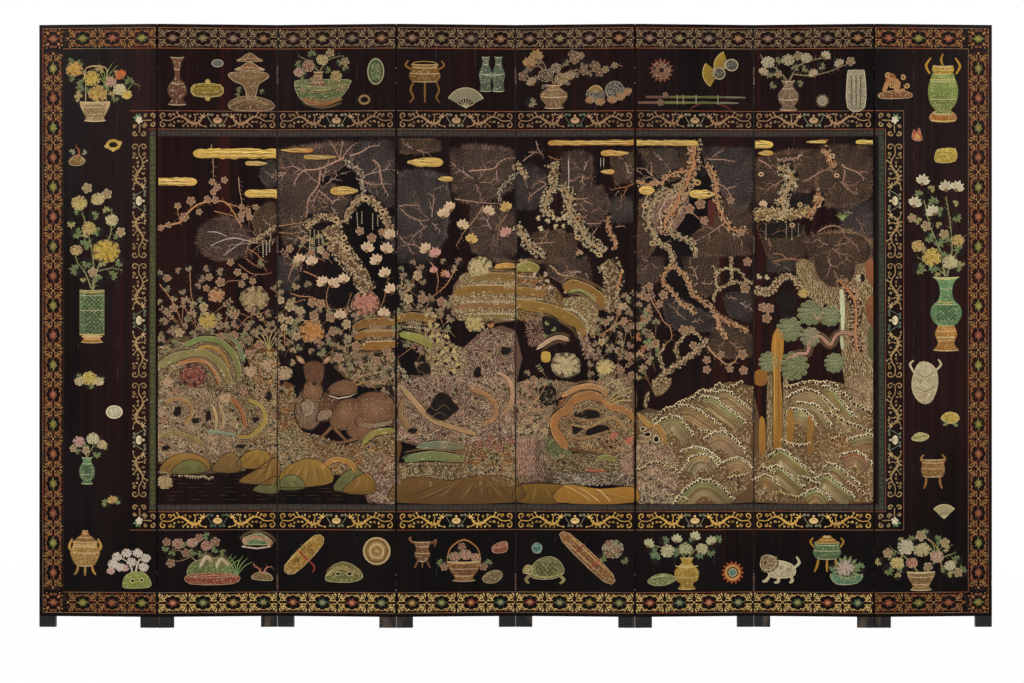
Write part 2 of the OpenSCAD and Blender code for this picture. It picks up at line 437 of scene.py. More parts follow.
class Pen:
    """Draws on a relief, from a place of its own, at its own size, turn and layer. flip -1 mirrors it."""

    def __init__(self, relief, x=0.0, y=0.0, size=1.0, turn=0.0, flip=1, layer=0.0):
        self.relief, self.layer = relief, layer
        c, s = math.cos(math.radians(turn)), math.sin(math.radians(turn))
        self.axes = (c * size * flip, -s * size, s * size * flip, c * size)
        self.origin, self.size = (x, y), size

    def at(self, x, y, size=1.0, turn=0.0, flip=1):
        """A pen that draws about a point of this one's drawing."""
        inner = Pen(self.relief, 0, 0, size, turn, flip, self.layer)
        a, b, c, d = self.axes
        e, f, g, h = inner.axes
        inner.axes = (a * e + b * g, a * f + b * h, c * e + d * g, c * f + d * h)
        inner.origin, inner.size = self.spot((x, y)), self.size * size
        return inner

    def up(self, layers=1.0):
        """The same pen, some layers further up."""
        other = Pen(self.relief, layer=self.layer + layers)
        other.axes, other.origin, other.size = self.axes, self.origin, self.size
        return other

    def spot(self, p):
        """A point of this pen's own drawing, on the relief's drawing."""
        a, b, c, d = self.axes
        return (self.origin[0] + a * p[0] + b * p[1], self.origin[1] + c * p[0] + d * p[1])

    def spots(self, points):
        return [self.spot(p) for p in points]

    def dome(self, points, tint, heart=None, height=RELIEF):
        tint = vary(tint)
        self.relief.dome(self.spots(points), self.layer, tint, vary(heart) if heart else tint, height)

    def plate(self, points, tint, foot=None, height=RELIEF * 0.5):
        tint = vary(tint, 0.08)
        height *= dice.uniform(0.9, 1.1)
        self.relief.plate(self.spots(points), self.layer, tint, vary(foot, 0.08) if foot else tint, height)

    def stroke(self, points, width, tint, tip=None, height=RELIEF):
        if isinstance(width, (list, tuple)):
            width = [w * self.size for w in width]
        else:
            width *= self.size
        tint = vary(tint)
        self.relief.stroke(self.spots(points), self.layer, width, tint, vary(tip) if tip else tint, height)

    def dot(self, x, y, r, tint, heart=None, n=6, height=RELIEF):
        self.dome(ring(x, y, r, r, n), tint, heart, height)


# ---------------------------------------------------------------- shader graphs


class Value:
    """A shader socket that takes part in Python arithmetic."""

    def __init__(self, graph, socket):
        self.graph, self.socket = graph, socket

    def math(self, operation, *others):
        return self.graph.node("ShaderNodeMath", {"operation": operation}, self, *others)

    def __add__(self, other):
        return self.math("ADD", other)

    def __radd__(self, other):
        return self.math("ADD", other)

    def __sub__(self, other):
        return self.math("SUBTRACT", other)

    def __rsub__(self, other):
        return (self * -1) + other

    def __mul__(self, other):
        return self.math("MULTIPLY", other)

    def __rmul__(self, other):
        return self.math("MULTIPLY", other)

    def __gt__(self, other):
        return self.math("GREATER_THAN", other)

    def __lt__(self, other):
        return self.math("LESS_THAN", other)

    def clamp(self, low, high):
        """0 at low, 1 at high, and in between in proportion."""
        return self.graph.node("ShaderNodeMapRange", {}, self, float(low), float(high), 0.0, 1.0)


class Graph:
    """A material's nodes."""

    def __init__(self, name):
        self.material = bpy.data.materials.new(name)
        self.material.use_nodes = True
        self.tree = self.material.node_tree
        self.shader = self.tree.nodes["Principled BSDF"]

    def node(self, kind, settings, *inputs, out=0, **named):
        """Makes a node; settings come first, then its inputs in order or by name. Returns one output."""
        made = self.tree.nodes.new(kind)
        for key, value in settings.items():
            setattr(made, key, value)
        sockets = [s for s in made.inputs if s.enabled]
        for socket, value in list(zip(sockets, inputs)) + [(made.inputs[k], v) for k, v in named.items()]:
            self.feed(socket, value)
        outs = [s for s in made.outputs if s.enabled]
        return Value(self, outs[out])

    def feed(self, socket, value):
        """Links a value to a socket, or sets it there."""
        if isinstance(value, Value):
            self.tree.links.new(value.socket, socket)
        elif isinstance(value, tuple) and len(value) == 3 and socket.type == "RGBA":
            socket.default_value = (*value, 1)
        else:
            socket.default_value = value

    def place(self):
        """The place on the object, in metres."""
        return self.node("ShaderNodeTexCoord", {}, out=3)

    def scaled(self, vector, x, y, z):
        return self.node("ShaderNodeMapping", {}, vector, Scale=(x, y, z))

    def noise(self, vector, scale, detail=3.0, roughness=0.5):
        named = {"Vector": vector, "Scale": scale, "Detail": detail, "Roughness": roughness}
        return self.node("ShaderNodeTexNoise", {}, **named)

    def blend(self, factor, a, b):
        """Part of the way, a share or a value, from one colour to another."""
        return self.node("ShaderNodeMix", {"data_type": "RGBA"}, factor, a, b)

    def bump(self, height, strength, distance):
        return self.node("ShaderNodeBump", {}, Height=height, Strength=strength, Distance=distance)

    def finish(self, **sockets):
        """Feeds the main shader; the names are its sockets, with _ for a space."""
        for key, value in sockets.items():
            self.feed(self.shader.inputs[key.replace("_", " ")], value)
        return self.material


# ---------------------------------------------------------------- finishes

SEAM_WEAR = 0.0045  # how far from a fold the lacquer is chipped
CHIP_FADE = 0.0012  # over how much more the chips die out
# ARRIS marks out the pale line beside each seam: rubbed lacquer, and a painted highlight on the leaf's edge
ARRIS = (0.0009, 0.0013, 0.0024, 0.0032)  # from a seam: dark, the rubbed line's two sides, dark again
BOARD_JOINT = LEAF_W / 6  # from a leaf's middle to the joints between its boards
HINGES = [LEAF_BOTTOM + 0.118, LEAF_TOP - 0.178]
RED_STREAKS = (-1.004, 0.735, 0.845)  # where the lacquer is worn to its red ground


def axes_of(graph, place):
    """The x, y and z of a place."""
    return [graph.node("ShaderNodeSeparateXYZ", {}, place, out=k) for k in range(3)]


def cracks_of(graph, place, x):
    """1 along the joints between boards, where the ground has cracked in broken upright lines."""
    wander = graph.noise(graph.scaled(place, 3, 3, 9), 1.0, 4.0) * 0.012 - 0.006
    from_middle = LEAF_PITCH / 2 - x.math("PINGPONG", LEAF_PITCH / 2)
    line = (from_middle - BOARD_JOINT + wander).math("ABSOLUTE").clamp(0.0009, 0.0003)
    broken = graph.noise(graph.scaled(place, 2, 2, 11), 1.0, 3.0).clamp(0.54, 0.64)
    return line * broken


def seam_wear_and_highlight_of(graph, place, x, z):
    """Two values: the pale line beside each seam, which is rubbed lacquer and a painted highlight on the
    leaf's edge, and the chips, which are largest at the outer hinges.
    """
    edge = x.math("PINGPONG", LEAF_PITCH / 2)
    ragged = graph.noise(graph.scaled(place, 30, 30, 55), 1.0, 5.0)
    length = graph.noise(graph.scaled(place, 1.5, 1.5, 7), 3.0, 3.0)
    rubbed = edge.clamp(ARRIS[0], ARRIS[1]) * edge.clamp(ARRIS[3], ARRIS[2]) * length.clamp(0.3, 0.72)
    chips = (edge + ragged * 0.008).clamp(SEAM_WEAR + CHIP_FADE, SEAM_WEAR)
    low, high = [((z - h).math("ABSOLUTE") + ragged * 0.05).clamp(0.062, 0.05) for h in HINGES]
    return rubbed, chips * (low + high + length.clamp(0.62, 0.66) * 0.6).math("MINIMUM", 1.0)


def lacquer_finish():
    """Old black lacquer, brown in upright streaks, crazed, and chipped to the ground along the folds, with a
    pale line beside each seam that is rubbed wear and painted highlight.
    """
    g = Graph("lacquer")
    place = g.place()
    x, y, z = axes_of(g, place)
    broad = g.noise(g.scaled(place, 2.1, 2.1, 0.5), 1.0, 2.0).clamp(0.38, 0.66)
    broad = broad * z.clamp(0.15, 0.7)
    fine = g.noise(g.scaled(place, 60, 60, 1.1), 1.0, 4.0).clamp(0.4, 0.75)
    hair = g.noise(g.scaled(place, 420, 420, 3), 1.0, 2.0).clamp(0.35, 0.75)
    haze = g.noise(g.scaled(place, 5, 5, 2.2), 1.0, 5.0).clamp(0.4, 0.75)
    colour = g.blend(haze * 0.7, srgb("#060404"), srgb("#110d0e"))
    colour = g.blend(broad * (0.3 + fine * 0.6), colour, srgb("#28100d"))
    for streak in RED_STREAKS:
        near = (x - streak + fine * 0.014).math("ABSOLUTE").clamp(0.03, 0.002)
        colour = g.blend(near * fine * broad * 0.9, colour, srgb("#3c120d"))
    colour = g.blend(hair * fine * 0.4, colour, srgb("#2a1512"))
    cracks = cracks_of(g, place, x)
    rubbed, chips = seam_wear_and_highlight_of(g, place, x, z)
    colour = g.blend(cracks * 0.3, colour, srgb("#6e6a64"))
    # Wear and painted highlight: a pale line along each leaf's edge beside the seam
    colour = g.blend(rubbed * 0.15, colour, srgb("#6c6054"))
    colour = g.blend(chips * 0.6, colour, srgb("#9c9280"))
    crazing = g.node("ShaderNodeTexVoronoi", {"feature": "DISTANCE_TO_EDGE"}, Vector=place, Scale=130.0)
    level = g.noise(place, 14.0, 4.0) * 0.5 + crazing.clamp(0.0, 0.05) * 0.12 - cracks * 0.8 - chips * 0.7
    return g.finish(
        Base_Color=colour,
        Roughness=0.3 + haze * 0.12 + (chips + cracks) * 0.3,
        Specular_IOR_Level=0.05,
        Normal=g.bump(level, 0.5, 0.0007),
    )


def paint_finish():
    """Oil colour and coloured lacquer in the cut work, uneven, rubbed and crossed by the cracks."""
    g = Graph("cut_colours")
    place = g.place()
    x, y, z = axes_of(g, place)
    tint = g.node("ShaderNodeAttribute", {"attribute_name": "tint"})
    specks = g.noise(place, 420.0, 3.0).clamp(0.3, 0.72)
    patch = g.noise(place, 38.0, 5.0).clamp(0.38, 0.7)
    colour = g.blend(0.3 * (1 - specks), tint, srgb("#1a1310"))
    colour = g.blend(patch * 0.2, colour, srgb("#3a2718"))
    colour = g.blend(cracks_of(g, place, x) * 0.45, colour, srgb("#55514a"))
    return g.finish(
        Base_Color=colour,
        Roughness=0.58 + specks * 0.2,
        Specular_IOR_Level=0.1,
        Normal=g.bump(specks * 0.6 + patch, 0.5, 0.0003),
    )


def wood_finish(name, dark, light, worn, rough, wear=(0.56, 0.62)):
    """Wood with its grain upright, lacquered dark or left bare, and rubbed through in places."""
    g = Graph(name)
    place = g.place()
    rings = g.noise(g.scaled(place, 90, 90, 2.5), 1.0, 4.0).clamp(0.35, 0.7)
    pore = g.noise(g.scaled(place, 700, 700, 14), 1.0, 2.0).clamp(0.5, 0.8)
    rub = g.noise(g.scaled(place, 26, 26, 9), 1.0, 6.0).clamp(*wear)
    colour = g.blend(rings, srgb(dark), srgb(light))
    colour = g.blend(pore * 0.45, colour, srgb("#0c0807"))
    colour = g.blend(rub, colour, srgb(worn))
    return g.finish(
        Base_Color=colour,
        Roughness=rough + rub * 0.2,
        Specular_IOR_Level=0.2,
        Normal=g.bump(rings * 0.4 - pore - rub * 0.7, 0.5, 0.0006),
    )


def iron_finish():
    """Wrought iron, blackened, with rust in its hollows."""
    g = Graph("hinge_iron")
    place = g.place()
    rust = g.noise(place, 210.0, 6.0).clamp(0.45, 0.62)
    pits = g.noise(place, 900.0, 2.0)
    return g.finish(
        Base_Color=g.blend(rust, srgb("#2b2724"), srgb("#5a2f1a")),
        Metallic=0.8 - rust * 0.7,
        Roughness=0.48 + rust * 0.35,
        Normal=g.bump(pits + rust, 0.6, 0.0004),
    )


LACQUER = lacquer_finish()
PAINT = paint_finish()


def finish_frame():
    """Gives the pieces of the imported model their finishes."""
    edges = wood_finish("lacquered_edges", "#100b0a", "#1e1310", "#6a4a30", 0.45)
    cleats = wood_finish("lacquered_cleats", "#120d0b", "#241813", "#75543a", 0.45)
    feet = wood_finish("feet", "#0b0908", "#181413", "#4c4036", 0.5, (0.55, 0.72))
    bamboo = wood_finish("bamboo", "#a5814a", "#c7a76a", "#8a6636", 0.55)
    finishes = {
        "lacquer": LACQUER,
        "boards": edges,
        "cleats": cleats,
        "feet": feet,
        "pins": bamboo,
        "eyes": iron_finish(),
    }
    finishes["pintles"] = finishes["eyes"]
    for name in frame["nodes"]:
        material = finishes[name.rsplit("_", 1)[1]]
        node = bpy.data.objects[name]
        if not node.material_slots:
            node.data.materials.append(material)
        for slot in node.material_slots:
            slot.material = material


# The fold beads are painted shade: black pieces in the gap at each fold, where there is only shade
HINGE_FREE = 0.029  # from the middle of a hinge to where the bead of its fold starts
HINGES_DOWN = 4  # hinges at a seam
BEAD = 0.0009  # radius of the bead
BEAD_SHORT = 0.0005  # from its ends to the top and the bottom of the leaf
BEAD_FOOT = (0.0014, 0.0009)  # width and thickness of its foot
FOOT_BACK, FOOT_DOWN = 0.0009, 0.0006  # from the fold's axis to the middle of the foot


def bead_stretches():
    """(low, high) of each stretch of a bead, between the hinges."""
    low, high = HINGES
    hinges = [low + (high - low) * k / (HINGES_DOWN - 1) for k in range(HINGES_DOWN)]
    ends = [h + d for h in hinges for d in (-HINGE_FREE, HINGE_FREE)]
    ends = [LEAF_BOTTOM + BEAD_SHORT, *ends, LEAF_TOP - BEAD_SHORT]
    return zip(ends[::2], ends[1::2])


def shade_beads_in_folds():
    """A fine black bead along each fold's axis, between its hinges, with its foot on the leaf before it:
    painted shade that fills the gap at the fold.
    """
    # Painted shade: a near-black finish standing in for the dark gap at the fold
    material = wood_finish("fold_bead", "#070505", "#0e0a0a", "#1c1613", 0.6)
    for number in range(1, LEAVES):
        x, y, _ = FOLDS[f"seam_{number}_fold"]
        turn = leaf_frame(number)[1]
        side = -1 if y > 0 else 1  # from the axis to the face of the leaf that it lies on
        bpy.ops.object.select_all(action="DESELECT")
        parts = []
        for low, high in bead_stretches():
            middle, tall = (low + high) / 2, high - low
            place = Vector((x, y, middle))
            bpy.ops.mesh.primitive_cylinder_add(vertices=12, radius=BEAD, depth=tall, location=place)
            parts.append(bpy.context.object)
            # The foot lies along the face of the leaf, with its underside just in the lacquer
            along_face = Vector((math.cos(turn), math.sin(turn), 0)) * -FOOT_BACK
            to_face = Vector((math.sin(turn), -math.cos(turn), 0)) * side * FOOT_DOWN
            foot_place = place + along_face + to_face
            bpy.ops.mesh.primitive_cube_add(
                size=1, location=foot_place, rotation=(0, 0, turn), scale=(*BEAD_FOOT, tall)
            )
            parts.append(bpy.context.object)
        for part in parts:
            part.select_set(True)
        bpy.ops.object.transform_apply(location=True, rotation=True, scale=True)
        bpy.context.view_layer.objects.active = parts[0]
        bpy.ops.object.join()
        bead = bpy.context.object
        bead.name = f"fold_bead_{number}"
        bead.data.name = bead.name
        bead.data.materials.clear()
        bead.data.materials.append(material)
        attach(bead, f"leaf_{number}")


# ---------------------------------------------------------------- painted lines and borders

# The lines cut round the front: in from the screen's top and bottom, and in from its two sides
LINES_DOWN = [0.013, 0.084, 0.302, 0.366]
LINES_IN = [0.013, 0.084, 0.313, 0.377]
LEFT_ASTRAY = 0.028  # how much further in the lines lie on the left
LINE_WIDTH = 0.0023
LINE_STEP = 14  # about how far the paint keeps its colour along a line, on the drawing
BLACK = "#120c0a"  # the ground between the colours
LINE_TINTS = ["#8e4529", "#985a37", "#7c5f4a", "#8c6c4a", "#6c5c4c", "#924e30"]
BACK_TINTS = ["#8c4428", "#7c5034", "#6a5140"]


def line_frame(down, side):
    """The left, top, right and bottom of a line round the front, on the drawing."""
    left = SEAMS[0] + side * (1 + LEFT_ASTRAY) / LEAF_PITCH * (SEAMS[1] - SEAMS[0])
    right = SEAMS[8] - side / LEAF_PITCH * (SEAMS[8] - SEAMS[7])
    return left, DRAWING_TOP + down / SQUARE, right, DRAWING_BOTTOM - down / SQUARE


FRAMES = [line_frame(down, side) for down, side in zip(LINES_DOWN, LINES_IN)]


def painted_line(relief, start, end, tints):
    """Paint in a cut line, its colour drifting along it."""
    steps = max(2, round(math.dist(start, end) / LINE_STEP))
    spots = [mix(start, end, k / steps) for k in range(steps + 1)]
    colours = [vary(srgb(dice.choice(tints))) for k in spots]
    for a, b, tint, tip in zip(spots, spots[1:], colours, colours[1:]):
        relief.stroke([a, b], 0, LINE_WIDTH / SQUARE, tint, tip, -LINE_FILL[1], -LINE_FILL[0])


def painted_lines(relief, frames, tints):
    """The four sides of each frame."""
    for left, top, right, bottom in frames:
        painted_line(relief, (left, top), (right, top), tints)
        painted_line(relief, (left, bottom), (right, bottom), tints)
        painted_line(relief, (left, top), (left, bottom), tints)
        painted_line(relief, (right, top), (right, bottom), tints)


def quarters(pen):
    """Four pens, one for each quarter of a symmetrical ornament."""
    return [pen.at(0, 0, turn=turn, flip=flip) for turn in (0, 180) for flip in (1, -1)]


def rosette(pen, tint, heart):
    """A spiky flower of the outer border."""
    for k in range(12):
        turn = 30 * k + 15
        length = 2.3 + (k % 2) * 0.8
        a = math.radians(turn)
        pen.dome(petal(1.7 * math.cos(a), 1.4 * math.sin(a), length, 1.1, turn), tint)
    for k in range(7):
        a = math.tau * k / 7
        pen.up().dot(1.6 * math.cos(a), 1.3 * math.sin(a), 0.8, heart, tint, 5)
    pen.up(1.2).dot(0, 0, 1.0, tint, heart)
    for side in (1, -1):
        pen.stroke([(side * 3.8, 0), (side * 7.2, 0)], (1.1, 0.3), tint)


def border_scrolls(pen, tint, tip):
    """Fine leafy scrolls about a rosette, leaving a dark ring round it."""
    for q in quarters(pen):
        round_rosette = smooth([(6.6, 1.3), (8.3, 2.9), (6.9, 5.4), (4.2, 6.9), (1.3, 7.6)], 3)
        q.stroke(round_rosette, (0.5, 0.95, 0.5), tint)
        q.stroke(spiral(10.3, 5.6, 2.1, 200, 1.15, 1, 7), (0.9, 0.55), tip)
        q.stroke(spiral(5.4, 8.0, 1.2, 20, 1.0, -1, 5), (0.7, 0.45), tint)
        q.stroke(spiral(13.2, 8.2, 1.2, 100, 1.0, 1, 5), (0.7, 0.45), tip)
        q.stroke(smooth([(7.8, 2.2), (10.4, 1.5), (12.4, 2.6), (12.9, 4.9)], 2), (0.9, 0.45), tint)
        for x, y, length, turn, colour in (
            (8.2, 3.4, 2.4, -48, tip),
            (7.2, 5.6, 2.5, 62, tint),
            (4.4, 6.8, 2.1, 200, tip),
            (11.2, 1.6, 2.4, 8, tip),
            (12.8, 5.2, 2.4, 60, tint),
            (9.4, 7.4, 1.8, 20, tip),
            (1.6, 7.4, 1.6, 170, tint),
        ):
            q.dome(petal(x, y, length, 0.95, turn), colour)
        q.dot(13.6, 7.4, 0.5, tip)
    for side in (1, -1):
        pen.dot(side * 14.9, 0, 0.7, srgb("#cbb37e"))
        for turn in (45, 135, 225, 315):
            pen.dome(petal(side * 14.9, 0, 2.4, 0.7, turn), tint)


def corner_leaves(pen, tint, tip):
    """A leaf and two curls towards each corner of a corner rosette's own square."""
    for turn in (45, 135, 225, 315):
        arm = pen.at(0, 0, turn=turn)
        arm.dome(petal(5.6, 0, 4.6, 3.0, 0), tint, tip)
        for side in (1, -1):
            arm.stroke(spiral(6.6, side * 4.2, 1.7, -side * 60, 0.95, side, 6), (1.0, 0.6), tint)
            arm.dome(petal(10.2, side * 1.2, 2.2, 1.2, side * 30), tip)


def strips(outer, inner):
    """The four sides of the band between two lines, as boxes that don't overlap."""
    (l0, t0, r0, b0), (l1, t1, r1, b1) = outer, inner
    return ((l0, t0, r0, t1), (l0, b1, r0, b0), (l0, t1, l1, b1), (r1, t1, r0, b1))


def tangle(relief, boxes, gaps):
    """Small hooked scrolls all over some boxes, with room left round the middle of each gap."""
    pen = Pen(relief)
    for left, top, right, bottom in boxes:
        left, top, right, bottom = left + TANGLE_IN, top + TANGLE_IN, right - TANGLE_IN, bottom - TANGLE_IN
        for x, y in scatter([(left, top), (right, top), (right, bottom), (left, bottom)], TANGLE_STEP):
            if any(abs(x - gx) < TANGLE_GAP[0] and abs(y - gy) < TANGLE_GAP[1] for gx, gy in gaps):
                continue
            line = spiral(x, y, TANGLE_STEP * 0.5, dice.uniform(0, 360), 0.7, dice.choice((-1, 1)), 4)
            tint = mix(dice.choice(TANGLE_TINTS), BLACK, dice.uniform(0, 0.4))
            pen.stroke(line, (0.7, 0.4), tint, height=RELIEF * 0.6)


ROSETTE_STEP = 29.8
# The top rosettes and scrolls are duller than the rest, partly in their own colours and partly as painted
# shade, as less light falls on the top of the screen
ROSETTE_TINTS = {
    "side": ["#8c4c38", "#84803e"],
    "top": ["#84604e", "#7c6c44", "#786056", "#8a6040"],
    "bottom": ["#8c6c38", "#5f683e", "#8c4030", "#4c6a50", "#94463a", "#66704a"],
}
SCROLL_TINTS = {
    "side": ("#8c5230", "#a87c44"),
    "top": ("#765e44", "#9a8260"),
    "bottom": ("#c49a56", "#ecca80"),
}
TANGLE_TINTS = ("#4e3020", "#5c422a", "#483626", "#54301e")
TANGLE_STEP = 3.0  # from one small scroll to the next, on the drawing
TANGLE_IN = 1.6  # from the border's lines to its small scrolls
TANGLE_GAP = (6.4, 6.0)  # half sizes of the dark room round a rosette


def outer_border(relief):
    """Rosettes in scrolls between the two outer lines."""
    left, top, right, bottom = [(a + b) / 2 for a, b in zip(FRAMES[0], FRAMES[1])]
    across = round((right - left) / ROSETTE_STEP)
    down = round((bottom - top) / ROSETTE_STEP)
    spots = []
    for k in range(across + 1):
        x = left + (right - left) * k / across
        for y, where in ((top, "top"), (bottom, "bottom")):
            corner = k in (0, across)
            side = x < SEAMS[1] or x > SEAMS[7]
            spots.append((x, y, 0, "side" if side else where, k, corner))
    for k in range(1, down):
        y = top + (bottom - top) * k / down
        spots += [(x, y, 90, "side", k, False) for x in (left, right)]
    tangle(relief, strips(FRAMES[0], FRAMES[1]), [(x, y) for x, y, *rest in spots])
    for x, y, turn, where, k, corner in spots:
        tints = ROSETTE_TINTS[where]
        tint = vary(srgb(tints[k % len(tints)]))
        pen = Pen(relief, x, y, 1.0, turn, layer=0.6)
        scroll, tip = [srgb(c) for c in SCROLL_TINTS[where]]
        (corner_leaves if corner else border_scrolls)(pen, scroll, tip)
        rosette(pen, tint, mix(tint, tip, 0.5))


def big_curl(pen, x, y, r, start, way, width, tint):
    """A scroll with a rolled end."""
    pen.stroke(spiral(x, y, r, start, 0.95, way, 9), (width, width * 1.3, width * 0.7), tint)
    a = math.radians(start) + way * math.tau * 0.95
    pen.dot(x + r * 0.3 * math.cos(a), y + r * 0.3 * math.sin(a), width * 0.6, tint)


# A dragon of the inner band, about the band's middle line, on the drawing
DRAGON_BACK = (
    (15.5, -3.2), (17.0, 0.6), (21.5, 3.6), (26.5, 2.6), (31.0, -0.8), (36.0, -3.6), (41.5, -2.6), (46, 0.2),
)
DRAGON_HEAD = ((12.4, -3.6), (13.2, -5.4), (15.2, -5.4), (16.2, -3.6), (14.6, -2.0), (12.8, -2.4))
DRAGON_HORNS = ((12.4, -4.4, 2.2, 190), (13.6, -5.4, 2.0, 250), (15.6, -4.8, 2.6, -40), (16.2, -3, 2.4, 5))
DRAGON_LEGS = (
    ((18.5, 2.0), (16.5, 5.0), (12.0, 6.4)),
    ((23.0, 1.6), (21.8, -1.8), (22.6, -5.2)),
    ((28.5, 1.5), (31.5, 3.8), (34.5, 6.0)),
    ((36.5, -3.2), (38.6, -5.2), (40.0, -7.4)),
)
DRAGON_FLAMES = (
    (27.5, -4.4, 1.6, 60, 1), (31.5, -5.6, 1.3, 120, -1), (19.5, -5.8, 1.4, 60, -1),
    (25.0, 6.2, 1.3, 200, 1), (29.4, 6.2, 1.2, 320, -1), (20.8, 6.4, 1.2, 240, 1),
    (38.6, 1.6, 1.5, 160, 1), (34.4, 1.6, 1.1, 20, -1), (42.4, 2.6, 1.2, 250, 1), (17.4, 4.6, 0.9, 0, 1),
)
VINE_CURLS = (
    (5.4, -5.0, 1.6, 20, -1), (9.2, -5.4, 1.5, 160, 1), (2.3, 5.0, 1.5, 300, 1), (6.4, 4.9, 1.6, 240, -1),
)


def band_dragon(pen, body, glint):
    """A crouching dragon among small flames, its tail running into the stem."""
    back = smooth(DRAGON_BACK, 3)
    pen.stroke(back, (1.0, 1.9, 2.4, 2.5, 2.1, 1.6, 1.1, 0.9), body)
    pen.dome(smooth(DRAGON_HEAD, 2, True), body, glint)
    for x, y, length, turn in DRAGON_HORNS:
        pen.dome(petal(x, y, length, 0.9, turn), glint)
    for leg in DRAGON_LEGS:
        pen.stroke(smooth(leg, 2), (1.5, 0.9, 0.6), body)
        x, y = leg[-1]
        for turn in (-30, 30, 90):
            pen.dome(petal(x, y, 1.5, 0.6, turn + (180 if y > 0 else 240)), glint)
    for k in range(9):
        x, y = back[2 + 2 * k]
        pen.dome(petal(x, y - 0.8, 1.9, 0.8, -75 + 9 * (k % 3)), glint)
        pen.up().dot(x + 0.4, y + 0.2, 0.45, glint, BLACK, 5)
    for x, y, r, start, way in DRAGON_FLAMES:
        pen.stroke(spiral(x, y, r, start, 1.0, way, 7), (0.65, 0.45), dice.choice((body, glint)))


def band_half(pen, body, vine, glint):
    """Half of a repeat of the inner band, from its flower to its end."""
    pen.stroke(smooth([(9.6, -3.6), (8.0, -0.4), (5.4, 3.4)], 3), 0.6, vine)
    for x, y, r, start, way in VINE_CURLS:
        big_curl(pen, x, y, r, start, way, 0.75, vine)
    band_dragon(pen, body, glint)
    pen.stroke(smooth([(44.0, -0.4), (48.5, 0.6), (52.5, 0.2), (55.2, 0.1)], 3), (0.9, 0.9, 1.0), body)
    for side in (-1, 1):
        big_curl(pen, 53.6, side * 4.4, 3.5, -side * 70, side, 0.95, body)
        big_curl(pen, 47.3, side * 4.9, 2.0, -side * 110, -side, 0.75, body)
        big_curl(pen, 43.2, side * 5.6, 1.3, -side * 40, side, 0.65, body)


def band_repeat(pen, body, flower, glint):
    """A lotus between two dragons, with scrolls at both ends."""
    vine = mix(srgb("#48664e"), srgb("#948c68"), dice.random())
    for half in (pen, pen.at(0, 0, flip=-1)):
        band_half(half, body, vine, glint)
    pen.dome(arc(0, 0.2, 4.6, 3.1, -10, 190, 10), flower, glint)
    for k in range(7):
        turn = -160 + 23.5 * k
        a = math.radians(turn)
        pen.dome(petal(2.4 * math.cos(a), 0.4 + 1.2 * math.sin(a), 2.4, 1.5, turn), glint, flower)
    pen.dot(0, -4.4, 1.3, flower, glint)


def corner_flower(pen, vine):
    """A magnolia at the corner of the inner band, with scrolls along both sides of it."""
    for turn, flip in ((0, 1), (-90, -1)):
        arm = pen.at(0, 0, turn=turn, flip=flip)
        arm.stroke(smooth([(3.0, 0.5), (7.0, 0.4), (12.5, 0.2)], 3), (0.8, 1.2), vine)
        for side in (-1, 1):
            big_curl(arm, 13.2, side * 4.4, 2.9, -side * 70, side, 1.2, vine)
            big_curl(arm, 6.6, side * 4.6, 2.0, -side * 100, -side, 1.0, vine)
    for turn in (200, 250, 290):
        pen.dome(petal(-1, -1, 6.0, 2.6, turn), srgb("#4f6b46"), srgb("#7c8f5e"))
    for turn in (30, 100, 170, 240, 310):
        pen.up().dome(petal(0, 0, 4.0, 3.0, turn), "#d8cdb0", "#b49a74")


BAND_CORNER = 21  # from the middle of a corner flower to the first dragons, on the drawing
BAND_DOWN = 3  # repeats down each side
# The top tints are darker partly as painted shade, for the dimmer light on the top of the screen
BAND_TINTS = {
    "top": ("#94704e", "#a8805c", "#b8946c"),
    "bottom": ("#c8994a", "#cca478", "#f0cc78"),
    "side": ("#9a7c50", "#d5caa6", "#bda274"),
}


def inner_band(relief):
    """The band of dragons and flowers between the third and the fourth line."""
    left, top, right, bottom = [(a + b) / 2 for a, b in zip(FRAMES[2], FRAMES[3])]
    tints = {k: [srgb(c) for c in v] for k, v in BAND_TINTS.items()}
    for leaf in range(2, LEAVES):
        middle = (SEAMS[leaf - 1] + SEAMS[leaf]) / 2
        for y, where in ((top, "top"), (bottom, "bottom")):
            body, flower, glint = [vary(t, 0.1) for t in tints[where]]
            band_repeat(Pen(relief, middle, y, layer=0.6), body, flower, glint)
    high, low = top + BAND_CORNER, bottom - BAND_CORNER
    for x, turn in ((left, 90), (right, -90)):
        for k in range(BAND_DOWN):
            body, flower, glint = [vary(t, 0.1) for t in tints["side"]]
            y = high + (low - high) / BAND_DOWN * (k + 0.5)
            band_repeat(Pen(relief, x, y, 1.0, turn, layer=0.6), body, flower, glint)
    for y, turn, flip in ((top, 0, 1), (bottom, 180, -1)):
        for x, mirror in ((left, 1), (right, -1)):
            corner_flower(Pen(relief, x, y, 1.0, turn, flip * mirror, 0.6), tints["side"][0])


FRET = 6.2  # width of the fret inside the inner band, on the drawing
FRET_STEP = 5.0  # from one swirl to the next


